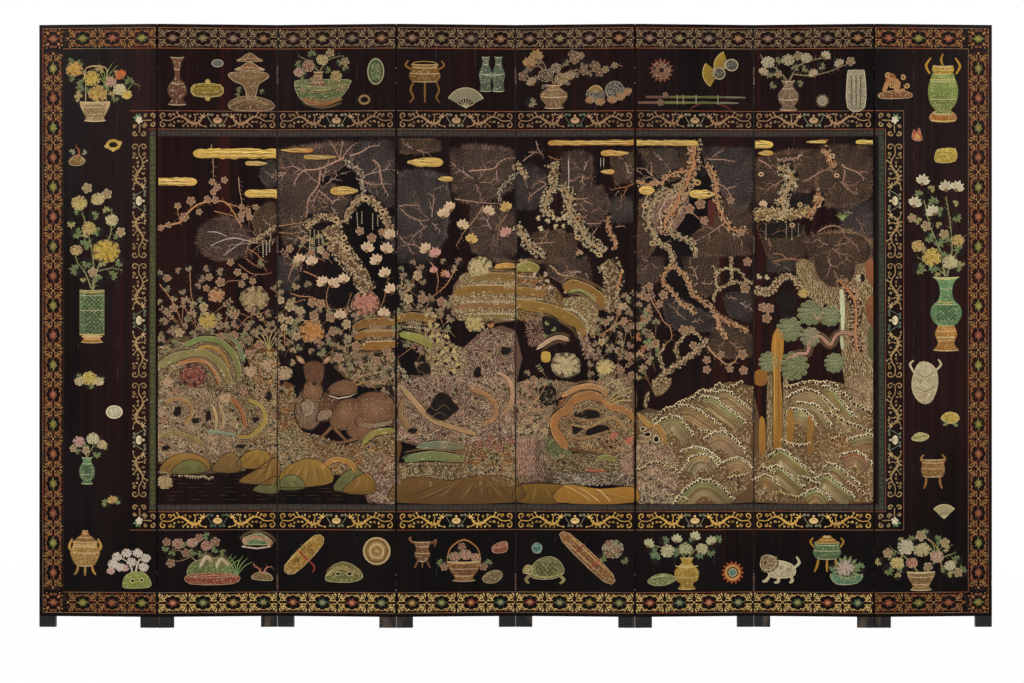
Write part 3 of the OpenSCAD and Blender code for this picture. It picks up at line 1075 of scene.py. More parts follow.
def fret(relief):
    """A narrow strip of small swirls on a dull ground, just inside the inner band."""
    left, top, right, bottom = FRAMES[3]
    reach = FRET_STEP * 0.9
    sides = (
        ((left + 1, top + 0.9), (right - 1, top + 0.9), 0, "#2a2320", "#564a3e"),
        ((left + 1, bottom - 0.9 - FRET), (right - 1, bottom - 0.9 - FRET), 0, "#2c2621", "#5a4e42"),
        ((left + 1, top + 1), (left + 1, bottom - 1), 1, "#393a22", "#63663c"),
        ((right - 1 - FRET, top + 1), (right - 1 - FRET, bottom - 1), 1, "#282b22", "#4e5440"),
    )
    for (x0, y0), (x1, y1), upright, ground, light in sides:
        length = (y1 - y0) if upright else (x1 - x0)
        for k in range(int(length / FRET_STEP)):
            shift = k * length / int(length / FRET_STEP)
            x, y = (x0, y0 + shift) if upright else (x0 + shift, y0)
            size = (FRET, reach + 0.5) if upright else (reach + 0.5, FRET)
            pen = Pen(relief, x, y)
            pen.plate([(0, 0), (size[0], 0), size, (0, size[1])], ground, height=RELIEF * 0.3)
            middle = Pen(relief, x + size[0] / 2, y + size[1] / 2, 1.0, 90 * (k % 4))
            middle.stroke(spiral(0, 0, 2.1, 0, 1.2, 1, 6), (0.9, 0.5), light, height=RELIEF)
            middle.dot(-1.6, 2.2, 0.5, light, None, 4)


PICTURE_IN = FRET + 1.2  # from the inner band to the picture, above and below
PICTURE_FRAME = (SEAMS[1], FRAMES[3][1] + PICTURE_IN, SEAMS[7], FRAMES[3][3] - PICTURE_IN)


def paint_borders():
    """Everything round the picture, and the two lines on the plain back."""
    borders = Relief("border")
    painted_lines(borders, FRAMES, LINE_TINTS)
    outer_border(borders)
    inner_band(borders)
    fret(borders)
    borders.build(PAINT)
    back = Relief("back_lines", 1)
    painted_lines(back, FRAMES[:2], BACK_TINTS)
    back.build(PAINT)


# ---------------------------------------------------------------- what grows and lies in the picture

NEEDLES = ("#2a1f19", "#8a6c5a")
GREY_NEEDLES = ("#201b19", "#6a5d56")
TWIG = "#a1734e"
CREAM = "#dcc79c"
DARK = "#0c0807"  # cut away round flowers, leaves and bark
OCHRE = "#96642a"
MOSS = ("#8f7148", "#6f6a48", "#a98a5c", "#83603c")
CURLY = ("#b08a66", "#94745a", "#c2a078", "#84654c", "#a87c60")
FOLIAGE = ("#8a6e56", "#7c6248", "#947a58", "#866450", "#76704e")
PLUM = ("#b28a68", "#7a5240")


def fur(pen, outline, heart, length, tints):
    """Soft pine needles that stream away from a heart, all over an outline, and fade into its edge."""
    middle = [sum(p[k] for p in outline) / len(outline) for k in (0, 1)]
    inner = [mix(p, middle, 0.16) for p in outline]
    pen.plate(smooth([tuple(p) for p in inner], 3, True), mix(tints[0], BLACK, 0.5), height=RELIEF * 0.2)
    far = max(math.dist(p, middle) for p in outline)
    for x, y in scatter(outline, 1.35):
        turn = math.degrees(math.atan2(y - heart[1], x - heart[0]))
        light = 1.08 - 1.15 * (math.dist((x, y), middle) / far) ** 2
        light += 0.22 * math.sin(turn * 0.16 + x * 0.09 + y * 0.05) + dice.uniform(-0.22, 0.22)
        tint = mix(tints[0], tints[1], min(max(light, 0), 1))
        tip = polar(x, y, length * dice.uniform(0.5, 1.05), turn + dice.gauss(0, 11))
        pen.stroke([(x, y), tip], (0.76, 0.15), tint, mix(tint, BLACK, 0.35), RELIEF * 0.5)


def bough(pen, x, y, turn, length, width, tint, forks):
    """A twig that forks to both sides, and whose forks fork in their turn."""
    line = [(x, y)]
    for k in range(4):
        turn += dice.gauss(0, 9)
        line.append(polar(*line[-1], length / 4, turn))
    pen.stroke(line, (width, width * 0.75, width * 0.3), tint)
    if forks:
        for k, (cx, cy) in enumerate(line[1:]):
            side = 1 if k % 2 else -1
            reach = length * dice.uniform(0.28, 0.44)
            bough(pen, cx, cy, turn + side * dice.uniform(30, 58), reach, width * 0.66, tint, forks - 1)


def twig(pen, points, width, tint, spread, reach):
    """A crooked branch that thins to its tip, with short forked shoots to both sides."""
    line = smooth(points, 3)
    pen.stroke(line, (width, width * 0.75, width * 0.4), tint)
    for x, y, turn in along(line, spread, spread * 0.6):
        way = dice.choice((-1, 1))
        tip_turn = turn + way * dice.uniform(28, 60)
        tip = polar(x, y, reach * dice.uniform(0.5, 1.1), tip_turn)
        pen.stroke([(x, y), tip], (width * 0.6, 0.3), tint)
        pen.stroke([tip, polar(*tip, reach * 0.35, tip_turn + way * 38)], (0.45, 0.25), tint)


def blossom(pen, x, y, r=3.6, tints=PLUM):
    """Five round petals, each with a pale rim, about a dark heart."""
    start = dice.uniform(0, 72)
    pen.dome(ring(x, y, r * 1.15, r * 1.1, 10), DARK, height=RELIEF * 0.3)
    for k in range(5):
        turn = start + 72 * k
        px, py = polar(x, y, r * 0.58, turn)
        pen.up(0.3).dome(ring(px, py, r * 0.4, r * 0.4, 6), mix(tints[0], tints[1], 0.5), tints[1])
        rim = arc(px, py, r * 0.4, r * 0.4, turn - 95, turn + 95, 4)
        pen.up(0.5).stroke(rim, (0.3, 0.55, 0.3), mix(tints[0], CREAM, 0.25))
    pen.up(0.7).dot(x, y, r * 0.24, mix(tints[1], BLACK, 0.5), "#d8c088")


def mum(pen, x, y, r, tint, heart, flat=0.85):
    """A full flower: ring over ring of scalloped petals with pale rims."""
    pen.plate(ring(x, y, r * 1.02, r * flat * 1.02, 14), mix(heart, BLACK, 0.75), height=RELIEF * 0.3)
    for k, (share, count) in enumerate(((0.76, 12), (0.48, 9), (0.18, 5))):
        for m in range(count):
            turn = 360 * (m + dice.uniform(-0.2, 0.2)) / count + 17 * k
            cx = x + r * (share * math.cos(math.radians(turn)) + dice.uniform(-0.07, 0.07))
            cy = y + r * (share * flat * math.sin(math.radians(turn)) + dice.uniform(-0.07, 0.07))
            size = r * dice.uniform(0.15, 0.27)
            shade = mix(tint, heart, dice.uniform(0.2, 0.6))
            pen.up(0.2 + 0.3 * k).dome(ring(cx, cy, size, size * 0.9, 7), mix(shade, BLACK, 0.3), shade)
            rim = arc(cx, cy, size, size * 0.9, turn - 85, turn + 85, 4)
            pale = mix(tint, "#efdcb4", 0.35)
            pen.up(0.4 + 0.3 * k).stroke(rim, (0.25, 0.6, 0.25), pale, height=RELIEF * 0.8)


def shape_magnolia(pen, points, tint, r):
    """Cups of long petals on their stalks, seen from the side."""
    for x, y in points:
        turn = dice.uniform(-130, -50)
        for k in (-2, 2, -1, 1, 0):
            shape = petal(x, y, r * (1.35 - 0.12 * abs(k)), r * 0.62, turn + 27 * k)
            pen.up(0.3 * (2 - abs(k)) + 0.2).dome(shape, tint, mix(tint, "#8f5c48", 0.5))
        pen.up(1).dot(x, y, r * 0.25, "#7a5a3c")


def lobed_leaf(pen, x, y, size, turn=None, tint=None, lobes=5):
    """A leaf of pointed lobes, each dark along its vein and pale along one rim."""
    turn = dice.uniform(0, 360) if turn is None else turn
    tint = tint or dice.choice(FOLIAGE)
    pen.dome(ring(x, y, size * 0.8, size * 0.8, 8), DARK, height=RELIEF * 0.2)
    for k in range(lobes):
        side = k - (lobes - 1) / 2
        long = size * (1.15 - 0.16 * abs(side))
        way = turn + side * 178 / lobes
        shape = petal(x, y, long, size * 0.38, way)
        pen.up(0.1).dome(shape, tint, mix(tint, BLACK, 0.45))
        tip = polar(x, y, long * 0.8, way)
        pen.up(0.5).stroke([(x, y), tip], (0.45, 0.2), mix(tint, BLACK, 0.8), height=RELIEF * 0.9)
        rim = [polar(x, y, long * 0.25, way + 24), polar(x, y, long * 0.6, way + 17), polar(x, y, long, way)]
        pen.up(0.5).stroke(rim, (0.2, 0.45, 0.2), mix(tint, CREAM, 0.45), height=RELIEF * 0.8)


def sprig(pen, x, y, size, turn, tint, pairs=3):
    """A stalk with small pointed leaves in pairs."""
    tip = polar(x, y, size, turn)
    pen.stroke([(x, y), tip], (0.7, 0.4), TWIG)
    for k in range(pairs):
        at = polar(x, y, size * (k + 1) / pairs, turn)
        for way in (-1, 1):
            pen.up(0.3).dome(petal(*at, size * 0.4, size * 0.19, turn + way * 42), tint)


def shape_grass(pen, points, tint, reach):
    """Long blades that arch over from each root."""
    for x, y in points:
        for turn in (-128, -112, -98, -84, -70, -54):
            way = 1 if math.cos(math.radians(turn)) > 0 else -1
            middle = polar(x, y, reach * 0.55, turn)
            line = smooth([(x, y), middle, polar(*middle, reach * 0.5, turn + way * 24)], 3)
            pen.stroke(line, (0.5, 1.0, 0.2), tint)


def shape_beads(pen, points, tint, r):
    """A string of small beads."""
    for x, y, turn in along(points, 1.9):
        pen.dot(x, y, r, tint, None, 5)


def shape_teeth(pen, points, tint, away):
    """A row of small strokes that stand off a line."""
    for x, y, turn in along(smooth(points, 3), 1.7):
        foot = polar(x, y, away, turn - 90)
        pen.stroke([foot, polar(*foot, 1.5, turn - 90 + dice.uniform(-15, 15))], (0.75, 0.45), tint)


def shape_trunk(pen, points, tints, width):
    """A trunk that is rough with hooked scales of bark, dark between them."""
    line = smooth(points, 3)
    widths = (width, width * 0.9, width * 0.75)
    scale = 1.6 if width < 9 else 2.1
    pen.stroke(line, [w * 1.2 + 1.0 for w in widths], DARK, height=RELIEF * 0.3)
    pen.up(0.2).stroke(line, [w * 0.8 for w in widths], mix(tints[0], BLACK, 0.68), height=RELIEF * 0.4)
    total = sum(math.dist(a, b) for a, b in zip(line, line[1:]))
    for k, (x, y, turn) in enumerate(along(line, scale)):
        at = min(k * scale / total, 0.999) * (len(widths) - 1)
        w = widths[int(at)] + (widths[int(at) + 1] - widths[int(at)]) * (at % 1)
        for m in range(max(2, round(w / scale))):
            cx, cy = polar(x, y, w * dice.uniform(-0.58, 0.58), turn + 90)
            tint = mix(mix(tints[0], tints[1], dice.random()), CREAM, dice.choice((0, 0, 0.45)))
            r, start = scale * dice.uniform(0.45, 0.7), dice.uniform(0, 360)
            curl = spiral(cx, cy, r, start, 0.75, dice.choice((-1, 1)), 4)
            pen.up(0.5).stroke(curl, (0.75, 0.45), tint)


def shape_pine(pen, points, tints, width):
    """A trunk with a smooth, winding core among hollow, hooked scales."""
    line = smooth(points, 3)
    pen.stroke(line, (width * 1.5, width * 1.6, width * 1.3), DARK, height=RELIEF * 0.3)
    for x, y, turn in along(line, 1.7):
        for m in range(max(3, round(width / 1.6))):
            cx, cy = polar(x, y, width * dice.uniform(-0.76, 0.76), turn + 90)
            r, start = dice.uniform(0.75, 1.3), dice.uniform(0, 360)
            shade = tints[dice.choice((0, 1, 1))]
            shade = mix(shade, dice.choice((CREAM, CREAM, BLACK)), dice.uniform(0.1, 0.45))
            pen.up(0.3).stroke(arc(cx, cy, r, r, start, start + 260, 4), (0.45, 0.8, 0.4), shade)
    core = [polar(x, y, width * dice.uniform(-0.1, 0.1), dice.uniform(0, 360)) for x, y in line[::2]]
    core = smooth(core + line[-1:], 2)
    widths = [width * share for share in (0.16, 0.4, 0.24, 0.34, 0.12)]
    pen.up(0.7).stroke(core, widths, tints[0], mix(tints[0], tints[1], 0.4))
    pen.up(0.9).stroke(beside(core, width * 0.07), (0.3, 0.7, 0.3), mix(tints[0], CREAM, 0.35))
    for x, y, turn in along(core, 3.1, 1.5):
        mark = [polar(x, y, width * share, turn + 75) for share in (-0.16, 0.1)]
        pen.up(1).stroke(mark, (0.3, 0.6), "#2a160c", height=RELIEF * 0.5)


def shape_knot(pen, points, tint, r):
    """Hollow knots with a thick lip."""
    for x, y in points:
        pen.up().dome(ring(x, y, r, r * 0.85, 12), tint, tint)
        pen.up(1.6).dome(ring(x, y, r * 0.55, r * 0.45, 9), BLACK, "#050303", RELIEF * 0.6)


def shape_ribbon(pen, points, tint, width):
    """A smooth, mottled band of rock with an uneven edge, and lines on both sides that echo it."""
    line = smooth(points, 4)
    widths = [width * dice.uniform(0.78, 1.16) for p in line[::2]]
    widths[0] = widths[-1] = width * 0.5
    foot = mix(tint, "#7e5a2c", 0.5)
    for side in (-1, 1):
        for k, tone in enumerate(("#8c6e4a", "#6c5238")):
            echo = beside(line, side * (width * 0.56 + 1.1 + 1.3 * k))
            pen.stroke(echo, (0.3, 0.6, 0.3), tone, height=RELIEF * 0.6)
    pen.up(0.1).stroke(line, [w + 1.3 for w in widths], BLACK, height=RELIEF * 0.4)
    pen.up(0.3).stroke(line, widths, tint, foot, RELIEF)
    for x, y, turn in along(line, 2.6):
        patch = polar(x, y, dice.uniform(-0.3, 0.3) * width, turn + 90)
        shade = mix(tint, dice.choice((foot, BLACK, "#a87840", CREAM)), dice.uniform(0.15, 0.4))
        ends = [polar(*patch, -2.4, turn), patch, polar(*patch, 2.4, turn)]
        pen.up(0.7).stroke(ends, (0.3, width * 0.34, 0.3), shade, height=RELIEF * 0.7)
    pen.up(1).stroke(beside(line, width * 0.4), 0.4, mix(tint, CREAM, 0.4), height=RELIEF * 0.7)


def ground_under(pen, outline, tints, dark=0.66):
    """The dull ground between small shapes."""
    pen.plate(smooth(outline, 2, True), mix(tints[0], BLACK, dark), height=RELIEF * 0.2)


def shape_pebbles(pen, outline, tints, step):
    """Small scales that lie over each other like worn stones, each with a pale rim."""
    ground_under(pen, outline, tints, 0.72)
    for x, y in scatter(outline, step):
        tint = mix(dice.choice(tints), BLACK, dice.uniform(0, 0.35))
        r, turn = step * dice.uniform(0.4, 0.56), dice.uniform(180, 360)
        scale = ring(x, y, r, r * 0.85, 6, dice.random())
        pen.up(0.1).dome(scale, mix(tint, BLACK, 0.55), mix(tint, BLACK, 0.25))
        rim = arc(x, y, r, r * 0.85, turn - 95, turn + 75, 4)
        pen.up(0.3).stroke(rim, (0.25, 0.6, 0.3), mix(tint, CREAM, 0.45), height=RELIEF * 0.8)


def shape_curls(pen, outline, tints, step):
    """Small hooked scrolls, close together, turned every way."""
    ground_under(pen, outline, tints)
    for x, y in scatter(outline, step):
        tint = mix(dice.choice(tints), dice.choice((BLACK, CREAM, CREAM)), dice.uniform(0, 0.45))
        r, start = step * dice.uniform(0.4, 0.62), dice.uniform(0, 360)
        line = spiral(x, y, r, start, 0.8, dice.choice((-1, 1)), 4)
        pen.up(0.1).stroke(line, (0.75, 0.525, 0.4), tint)


def drift(x, y):
    """The way in which the grain of the rock runs at a place, in degrees."""
    return 100 * math.sin(x * 0.052 + 1.4 * math.sin(y * 0.07)) + 80 * math.sin(y * 0.083 + x * 0.021) + 20


GRAIN = 1.7  # half the usual length of a line of the grain, on the drawing


def shape_grain(pen, outline, tints, step):
    """Fine short lines that swirl side by side over rock and ground, in patches of tint and of light."""
    ground_under(pen, outline, tints, 0.74)
    for x, y in scatter(outline, step * 0.8):
        bend = 2.2 * math.sin(y * 0.19) + 1.5 * math.sin(x * 0.05 - y * 0.11)
        patch = 0.5 + 0.5 * math.sin(x * 0.16 + bend)
        light = 0.5 + 0.5 * math.sin(x * 0.31 - y * 0.27 + 2 * math.sin(x * 0.09 + y * 0.04))
        tint = tints[min(int(patch * len(tints)), len(tints) - 1)]
        tint = mix(tint, BLACK, max(0.5 * (1 - light) + dice.uniform(-0.15, 0.2), 0))
        tint = mix(tint, CREAM, dice.choice((0, 0, 0.25, 0.55)))
        line = [(x, y)]
        for k in range(2):
            length = GRAIN * dice.uniform(0.7, 1.3)
            line.append(polar(*line[-1], length, drift(*line[-1]) + dice.gauss(0, 12)))
        pen.up(0.1 + dice.uniform(0, 0.2)).stroke(line, (0.2, 0.95, 0.2), tint)
        chance = dice.random()
        if chance < 0.05:
            line.append(polar(*line[-1], GRAIN * 2, drift(*line[-1])))
            pen.up(0.4).stroke(line, (0.2, 1.1, 0.2), "#0a0605", height=RELIEF * 0.5)
        elif chance < 0.065:
            lobed_leaf(pen.up(0.6), x, y, dice.uniform(2.4, 3.6))


def shape_blades(pen, points, tints, step):
    """Short strokes over an outline, black between them; the first point says which way and how far."""
    (dx, dy), outline = points[0], points[1:]
    turn, reach = math.degrees(math.atan2(dy, dx)), math.hypot(dx, dy)
    ground_under(pen, outline, tints, 0.85)
    for x, y in scatter(outline, step):
        way = turn + dice.gauss(0, 12)
        tint = mix(dice.choice(tints), dice.choice((BLACK, CREAM)), dice.uniform(0, 0.5))
        pen.up(0.1).stroke([(x, y), polar(x, y, reach * dice.uniform(0.6, 1.2), way)], (0.8, 0.3), tint)


def shape_hill(pen, outline, tint, size):
    """A slope with a black edge, darker towards its foot, with fine folds that fan down from its top."""
    foot, folds = mix(tint, BLACK, 0.4), int(size * 4)
    crest = min(outline, key=lambda p: p[1])
    left, right = min(p[0] for p in outline), max(p[0] for p in outline)
    low = max(p[1] for p in outline)
    edge = smooth(outline, 3, True)
    pen.plate(edge, tint, foot)
    for k in range(folds):
        x = left + (right - left) * (k + 0.7) / (folds + 0.4)
        start = (crest[0] + (x - crest[0]) * dice.uniform(0.25, 0.6), crest[1] + dice.uniform(2, 6))
        middle = ((start[0] + x) / 2 + 1, (start[1] + low) / 2 - 1.5)
        line = smooth([start, middle, (x, low - dice.uniform(1.5, 6))], 3)
        shade = (BLACK, mix(tint, BLACK, 0.6), mix(tint, CREAM, 0.3))[k % 3]
        pen.up(0.4).stroke(line, (0.15, 0.5, 0.15), shade, height=RELIEF * 0.7)
    pen.up(0.5).stroke(edge + edge[:1], (0.8, 0.8), BLACK, height=RELIEF * 0.7)


CLOUD_LINES = ("#4c3212", "#f4dc98", "#4c3212", "#e8cc80", "#5c3e18")


def shape_cloud(pen, corners, tint, nose):
    """A long flat cloud with wavy edges and a round nose, its body drawn in lines like the grain of wood."""
    (left, top), (right, bottom) = corners
    tall, middle = (bottom - top) / 2, (top + bottom) / 2
    x0, x1 = (left, right) if nose <= 0 else (right, left)
    way = 1 if x1 > x0 else -1
    head = [(x0 + way * tall * (1 - math.sin(a)) * 1.3, middle + tall * 0.8 * math.cos(a))
            for a in (math.tau * k / 16 for k in range(9))]
    start = x0 + way * tall * 1.5
    steps = max(3, int(abs(x1 - start) / 4))
    whole = any(abs(x1 - seam) < 3 for seam in SEAMS)  # a tail at a seam is cut there, any other thins out
    above, below = [], []
    for k in range(1, steps + 1):
        half = tall * (1 if whole else 1 - 0.75 * max(k / steps - 0.55, 0) / 0.45)
        x = start + (x1 - start) * k / steps
        above.append((x, middle - half * dice.uniform(0.7, 1)))
        below.append((x, middle + half * dice.uniform(0.7, 1)))
    edge = head + above + below[::-1]
    pen.stroke(edge + edge[:1], 1.2, BLACK, height=RELIEF * 0.4)
    pen.up(0.1).plate(edge, tint, mix(tint, OCHRE, 0.5))
    for k in range(len(CLOUD_LINES)):
        rise = tall * (0.32 * k - 0.64)
        begin = x0 + way * tall * (0.7 + abs(k - 2) * 0.5)
        line = []
        for t in range(15):
            near = 1 if whole else 1 - 0.7 * max(t / 14 - 0.55, 0) / 0.45
            x = begin + (x1 - begin) * t / 14
            line.append((x, middle + near * (rise + math.sin(x * 0.33 + k * 1.9) * tall * 0.13)))
        pen.up(0.5).stroke(line, (0.3, 0.7, 0.4), CLOUD_LINES[k])
    for k in range(int(abs(right - left) / 11)):
        cx = min(left, right) + 6 + 11 * k
        shape = arc(cx, middle + dice.uniform(-0.3, 0.3) * tall, 3.2, tall * 0.36, 100, 330, 5)
        pen.up(0.7).stroke(shape, 0.4, "#5c3e18", height=RELIEF * 0.7)


def foam(pen, points, size, tint):
    """Hooked curls of foam that rise along a line, dark under each."""
    for x, y, turn in along(points, size):
        x, y = polar(x, y, dice.uniform(-0.3, 1.5), turn - 90)
        r = size * dice.uniform(0.5, 0.75)
        pen.dome(ring(x, y, r * 1.1, r, 7), "#33241a", height=RELIEF * 0.3)
        shade = mix(tint, "#b8905c", dice.uniform(0, 0.4))
        pen.up(0.2).stroke(spiral(x, y, r, dice.uniform(90, 200), 0.72, 1, 6), (0.5, 1.05, 0.5), shade)


WAVE_LINES = 11


def shape_wave(pen, points, name, size):
    """A wave: many fine lines that follow its back, under hooked foam."""
    line, tints = smooth(points, 4), WAVES[name]
    widths = (9 * size, 13.5 * size, 10 * size)
    pen.stroke(beside(line, -6.5 * size), widths, mix(tints[2], BLACK, 0.35), None, RELIEF * 0.25)
    for m in range(WAVE_LINES):
        near_crest = m < 3
        tint = tints[min(int(m * len(tints) / WAVE_LINES), len(tints) - 1)]
        tint = mix(tint, dice.choice(("#f2dca4", "#c8985c")), 0.15 if near_crest else 0.5)
        fine = beside(line, -(0.9 + 1.15 * m) * size)
        middle = 1.0 if near_crest else 0.72
        pen.up(0.3).stroke(fine, (0.35, middle, 0.3), tint, mix(tint, "#8a6844", 0.3), RELIEF * 0.6)
    foam(pen.up(0.9), line, 2.6 * size, "#f0e0b4")


def shape_water(pen, corners, tint, step):
    """Still water: a few thin level lines on the dark ground."""
    (left, y), (right, bottom) = corners
    while y < bottom:
        x = left + dice.uniform(0, 9)
        while x < right - 4:
            reach = min(x + dice.uniform(4, 24), right)
            pen.stroke([(x, y), ((x + reach) / 2, y - 0.2), (reach, y)], (0.1, 0.36, 0.1), tint)
            x = reach + dice.uniform(3, 15)
        y += step * dice.uniform(0.8, 1.2)


# ---------------------------------------------------------------- the picture, leaf by leaf

SETS = {
    "needles": NEEDLES,
    "grey": GREY_NEEDLES,
    "warm": ("#2c1f16", "#8a6a4e"),
    "ember": ("#a2643a", "#bc8c64"),
    "husk": ("#8a6a44", "#bda47c"),
    "plum": PLUM,
    "pale": ("#cdb48a", "#8a6a44"),
    "pink": ("#b87a68", "#6c3a30"),
    "bark": ("#94704c", "#ccae84"),
    "grey_bark": ("#7a6654", "#b8a48c"),
    "red_bark": ("#8a4428", "#b87448"),
    "moss": MOSS,
    "curly": CURLY,
    "sandy": ("#a8703a", "#8f7048", "#b0905e", "#7d6c40"),
    "rosy": ("#a87c68", "#94705a", "#b08e78", "#86604c"),
    "foamy": ("#b08c5c", "#c4a468", "#a07c50", "#d8c294"),
    "leafy": ("#7c8250", "#8f8a52", "#687446"),
}

# The colours of a wave, from its crest down
WAVES = {
    "green": ("#94a468", "#6c7840", "#6a5a34", "#76563a", "#84643e", "#6a4c30"),
    "olive": ("#8c8450", "#6c6a3a", "#6a5434", "#765638", "#7c6040", "#644a30"),
    "tan": ("#94784c", "#7c6a3c", "#78583a", "#84643e", "#7c5c3c", "#6a4c34"),
    "red": ("#9c5a34", "#8c5030", "#74503a", "#7c5c40", "#6a4c34", "#5c4030"),
    "gold": ("#a8884c", "#7c6a3c", "#5c5440", "#4a4844", "#6c5840", "#5c4834"),
    "rose": ("#a07c5c", "#7c6c44", "#84644a", "#8c6c50", "#7c5c44", "#6a4c38"),
}


def shape_fur(pen, points, tint, size):
    """Needles that stream away from the first point, under boughs that spread from it."""
    (cx, cy), outline = points[0], points[1:]
    fur(pen, outline, (cx, cy), size, tint)
    for px, py in outline[::2]:
        far = math.dist((cx, cy), (px, py))
        if far > 10:
            turn = math.degrees(math.atan2(py - cy, px - cx)) + dice.gauss(0, 8)
            shade = dice.choice(("#a07a62", "#86644f", "#b08e78"))
            start = polar(cx, cy, far * 0.1, turn)
            bough(pen.up(1), *start, turn, far * dice.uniform(0.4, 0.6), 0.75, shade, 2 if far > 22 else 1)


def shape_foliage(pen, points, tint, size):
    """Leaves and a few small flowers on thin stems, all over an outline, with room between them."""
    for x, y in scatter(points, size):
        kind = dice.random()
        turn = dice.uniform(-160, -20)
        pen.stroke([polar(x, y, size * 1.1, turn + 180), (x, y)], (0.4, 0.8), dice.choice((TWIG, "#80603e")))
        if kind < 0.66:
            lobed_leaf(pen.up(0.4), x, y, size * dice.uniform(0.5, 0.66))
        elif kind < 0.82:
            sprig(pen.up(0.3), x, y, size, turn, dice.choice(FOLIAGE))
        else:
            blossom(pen.up(0.5), x, y, size * 0.4, dice.choice((PLUM, PLUM, SETS["pale"])))


def shape_twig(pen, points, tint, size):
    twig(pen, points, size, tint, 4.6, 2.6 + size)


def shape_line(pen, points, tint, size):
    pen.stroke(smooth(points, 3), (size * 0.7, size, size * 0.5), tint)


def shape_blossom(pen, points, tint, size):
    for x, y in points:
        blossom(pen, x, y, size * dice.uniform(0.9, 1.1), tint)


def shape_mum(pen, points, tint, size):
    for x, y in points:
        mum(pen, x, y, size, tint, mix(tint, BLACK, 0.4))


def shape_leaves(pen, points, tint, size):
    for x, y in points:
        lobed_leaf(pen, x, y, size * dice.uniform(0.85, 1.2), tint=None if tint == "any" else tint)


def shape_pad(pen, points, tint, size):
    """Round tufts of foliage, scalloped all over."""
    for x, y in points:
        pen.plate(ring(x, y, size, size * 0.85, 14), mix(tint, BLACK, 0.6), height=RELIEF * 0.3)
        for k, (share, count) in enumerate(((0.86, 11), (0.55, 8), (0.2, 4))):
            for m in range(count):
                cx, cy = polar(x, y, size * share, 360 * m / count + 20 * k)
                r = size * dice.uniform(0.22, 0.28)
                pen.up(0.2 + 0.2 * k).dome(ring(cx, cy, r, r * 0.85, 7), mix(tint, BLACK, 0.3), tint)
                rim = arc(cx, cy, r, r * 0.85, 170, 370, 5)
                pen.up(0.5 + 0.2 * k).stroke(rim, 0.5, mix(tint, CREAM, 0.35), height=RELIEF * 0.7)


def shape_plate(pen, points, tint, size):
    pen.plate(smooth(points, 3, True), tint, mix(tint, BLACK, 0.2 * size))


def shape_hole(pen, points, tint, size):
    """Holes: each is a middle and then its two radii."""
    for (x, y), (rx, ry) in zip(points[::2], points[1::2]):
        reach = [dice.uniform(0.7, 1.25) for k in range(11)]
        uneven = [ring(x, y, rx * r, ry * r, 11)[k] for k, r in enumerate(reach)]
        edge = smooth(uneven, 2, True)
        pen.stroke(edge + edge[:1], 1.4, tint)
        pen.up(0.3).plate(edge, "#070404")


def shape_fibres(pen, points, tint, size):
    """Strokes that spread from the first point over the outline of the others."""
    (cx, cy), outline = points[0], points[1:]
    for x, y in scatter(outline, size):
        turn = math.degrees(math.atan2(y - cy, x - cx)) + dice.gauss(0, 14)
        pen.stroke([(x, y), polar(x, y, dice.uniform(2, 5), turn)], (0.8, 0.4), dice.choice(tint))


def shape_foam(pen, points, tint, size):
    foam(pen, smooth(points, 3), size, tint)


def shape_sprig(pen, points, tint, size):
    for x, y in points:
        sprig(pen, x, y, size, dice.uniform(-150, -30), tint)


def draw(pen, drawing, shade=0.0):
    """Draws rows of shapes. A row is a kind, a layer, a tint or a set of tints, a size, and points.

    A row of points alone is drawn like the row before it, and an indented line carries its row on.
    Points are in the squares of the drawing; what a kind does with them is in its own function.
    The shade is a share of black that goes into the tints.
    """
    for row in drawing.strip().replace("\n ", " ").splitlines():
        points = row.split()
        if points[0].isalpha():
            (kind, layer, tint, size), points = points[:4], points[4:]
            tint = SETS.get(tint, tint)
            if shade and isinstance(tint, tuple):
                tint = [mix(t, BLACK, shade) for t in tint]
            elif shade and tint not in ("any", *WAVES):
                tint = mix(tint, BLACK, shade)
        points = [tuple(float(v) for v in p.split(",")) for p in points]
        SHAPES[kind](pen.up(float(layer)), points, tint, float(size))


CLOUDS = """
cloud 2.4 #d8b054 -1 193,148 275,159.5
cloud 2.4 #c9a860 -1 244.6,160.4 266,166
cloud 2.4 #dcb460 1 159,177 197,187
cloud 2.4 #d8b25c -1 244,188.5 276,198.5
cloud 2.4 #b8783c 1 280,147 313,153
cloud 2.4 #a8884e -1 303,154 336,160
cloud 2.4 #caa456 -1 330,186 358,196
cloud 2.4 #d8b05c 1 407,157 443,168
cloud 2.4 #cba45a 1 438,176 453,182
cloud 2.4 #c08e44 -1 549,140 635,146
cloud 2.4 #d2aa58 1 637,140 699,146.5
cloud 2.4 #c6974c -1 602,150 630,157
cloud 2.4 #c6974c 1 602,169 616,175
cloud 2.4 #d8ae5e -1 639,185 655,196
cloud 2.4 #d4b062 -1 690,189 716,199
cloud 2.4 #d8b45c 1 757,140 775,149
cloud 2.4 #cf9c4c 1 760,150 775,156
cloud 2.4 #cfae5a 1 808,140 828,144
cloud 2.4 #e0bc58 -1 857,140 874,145
"""

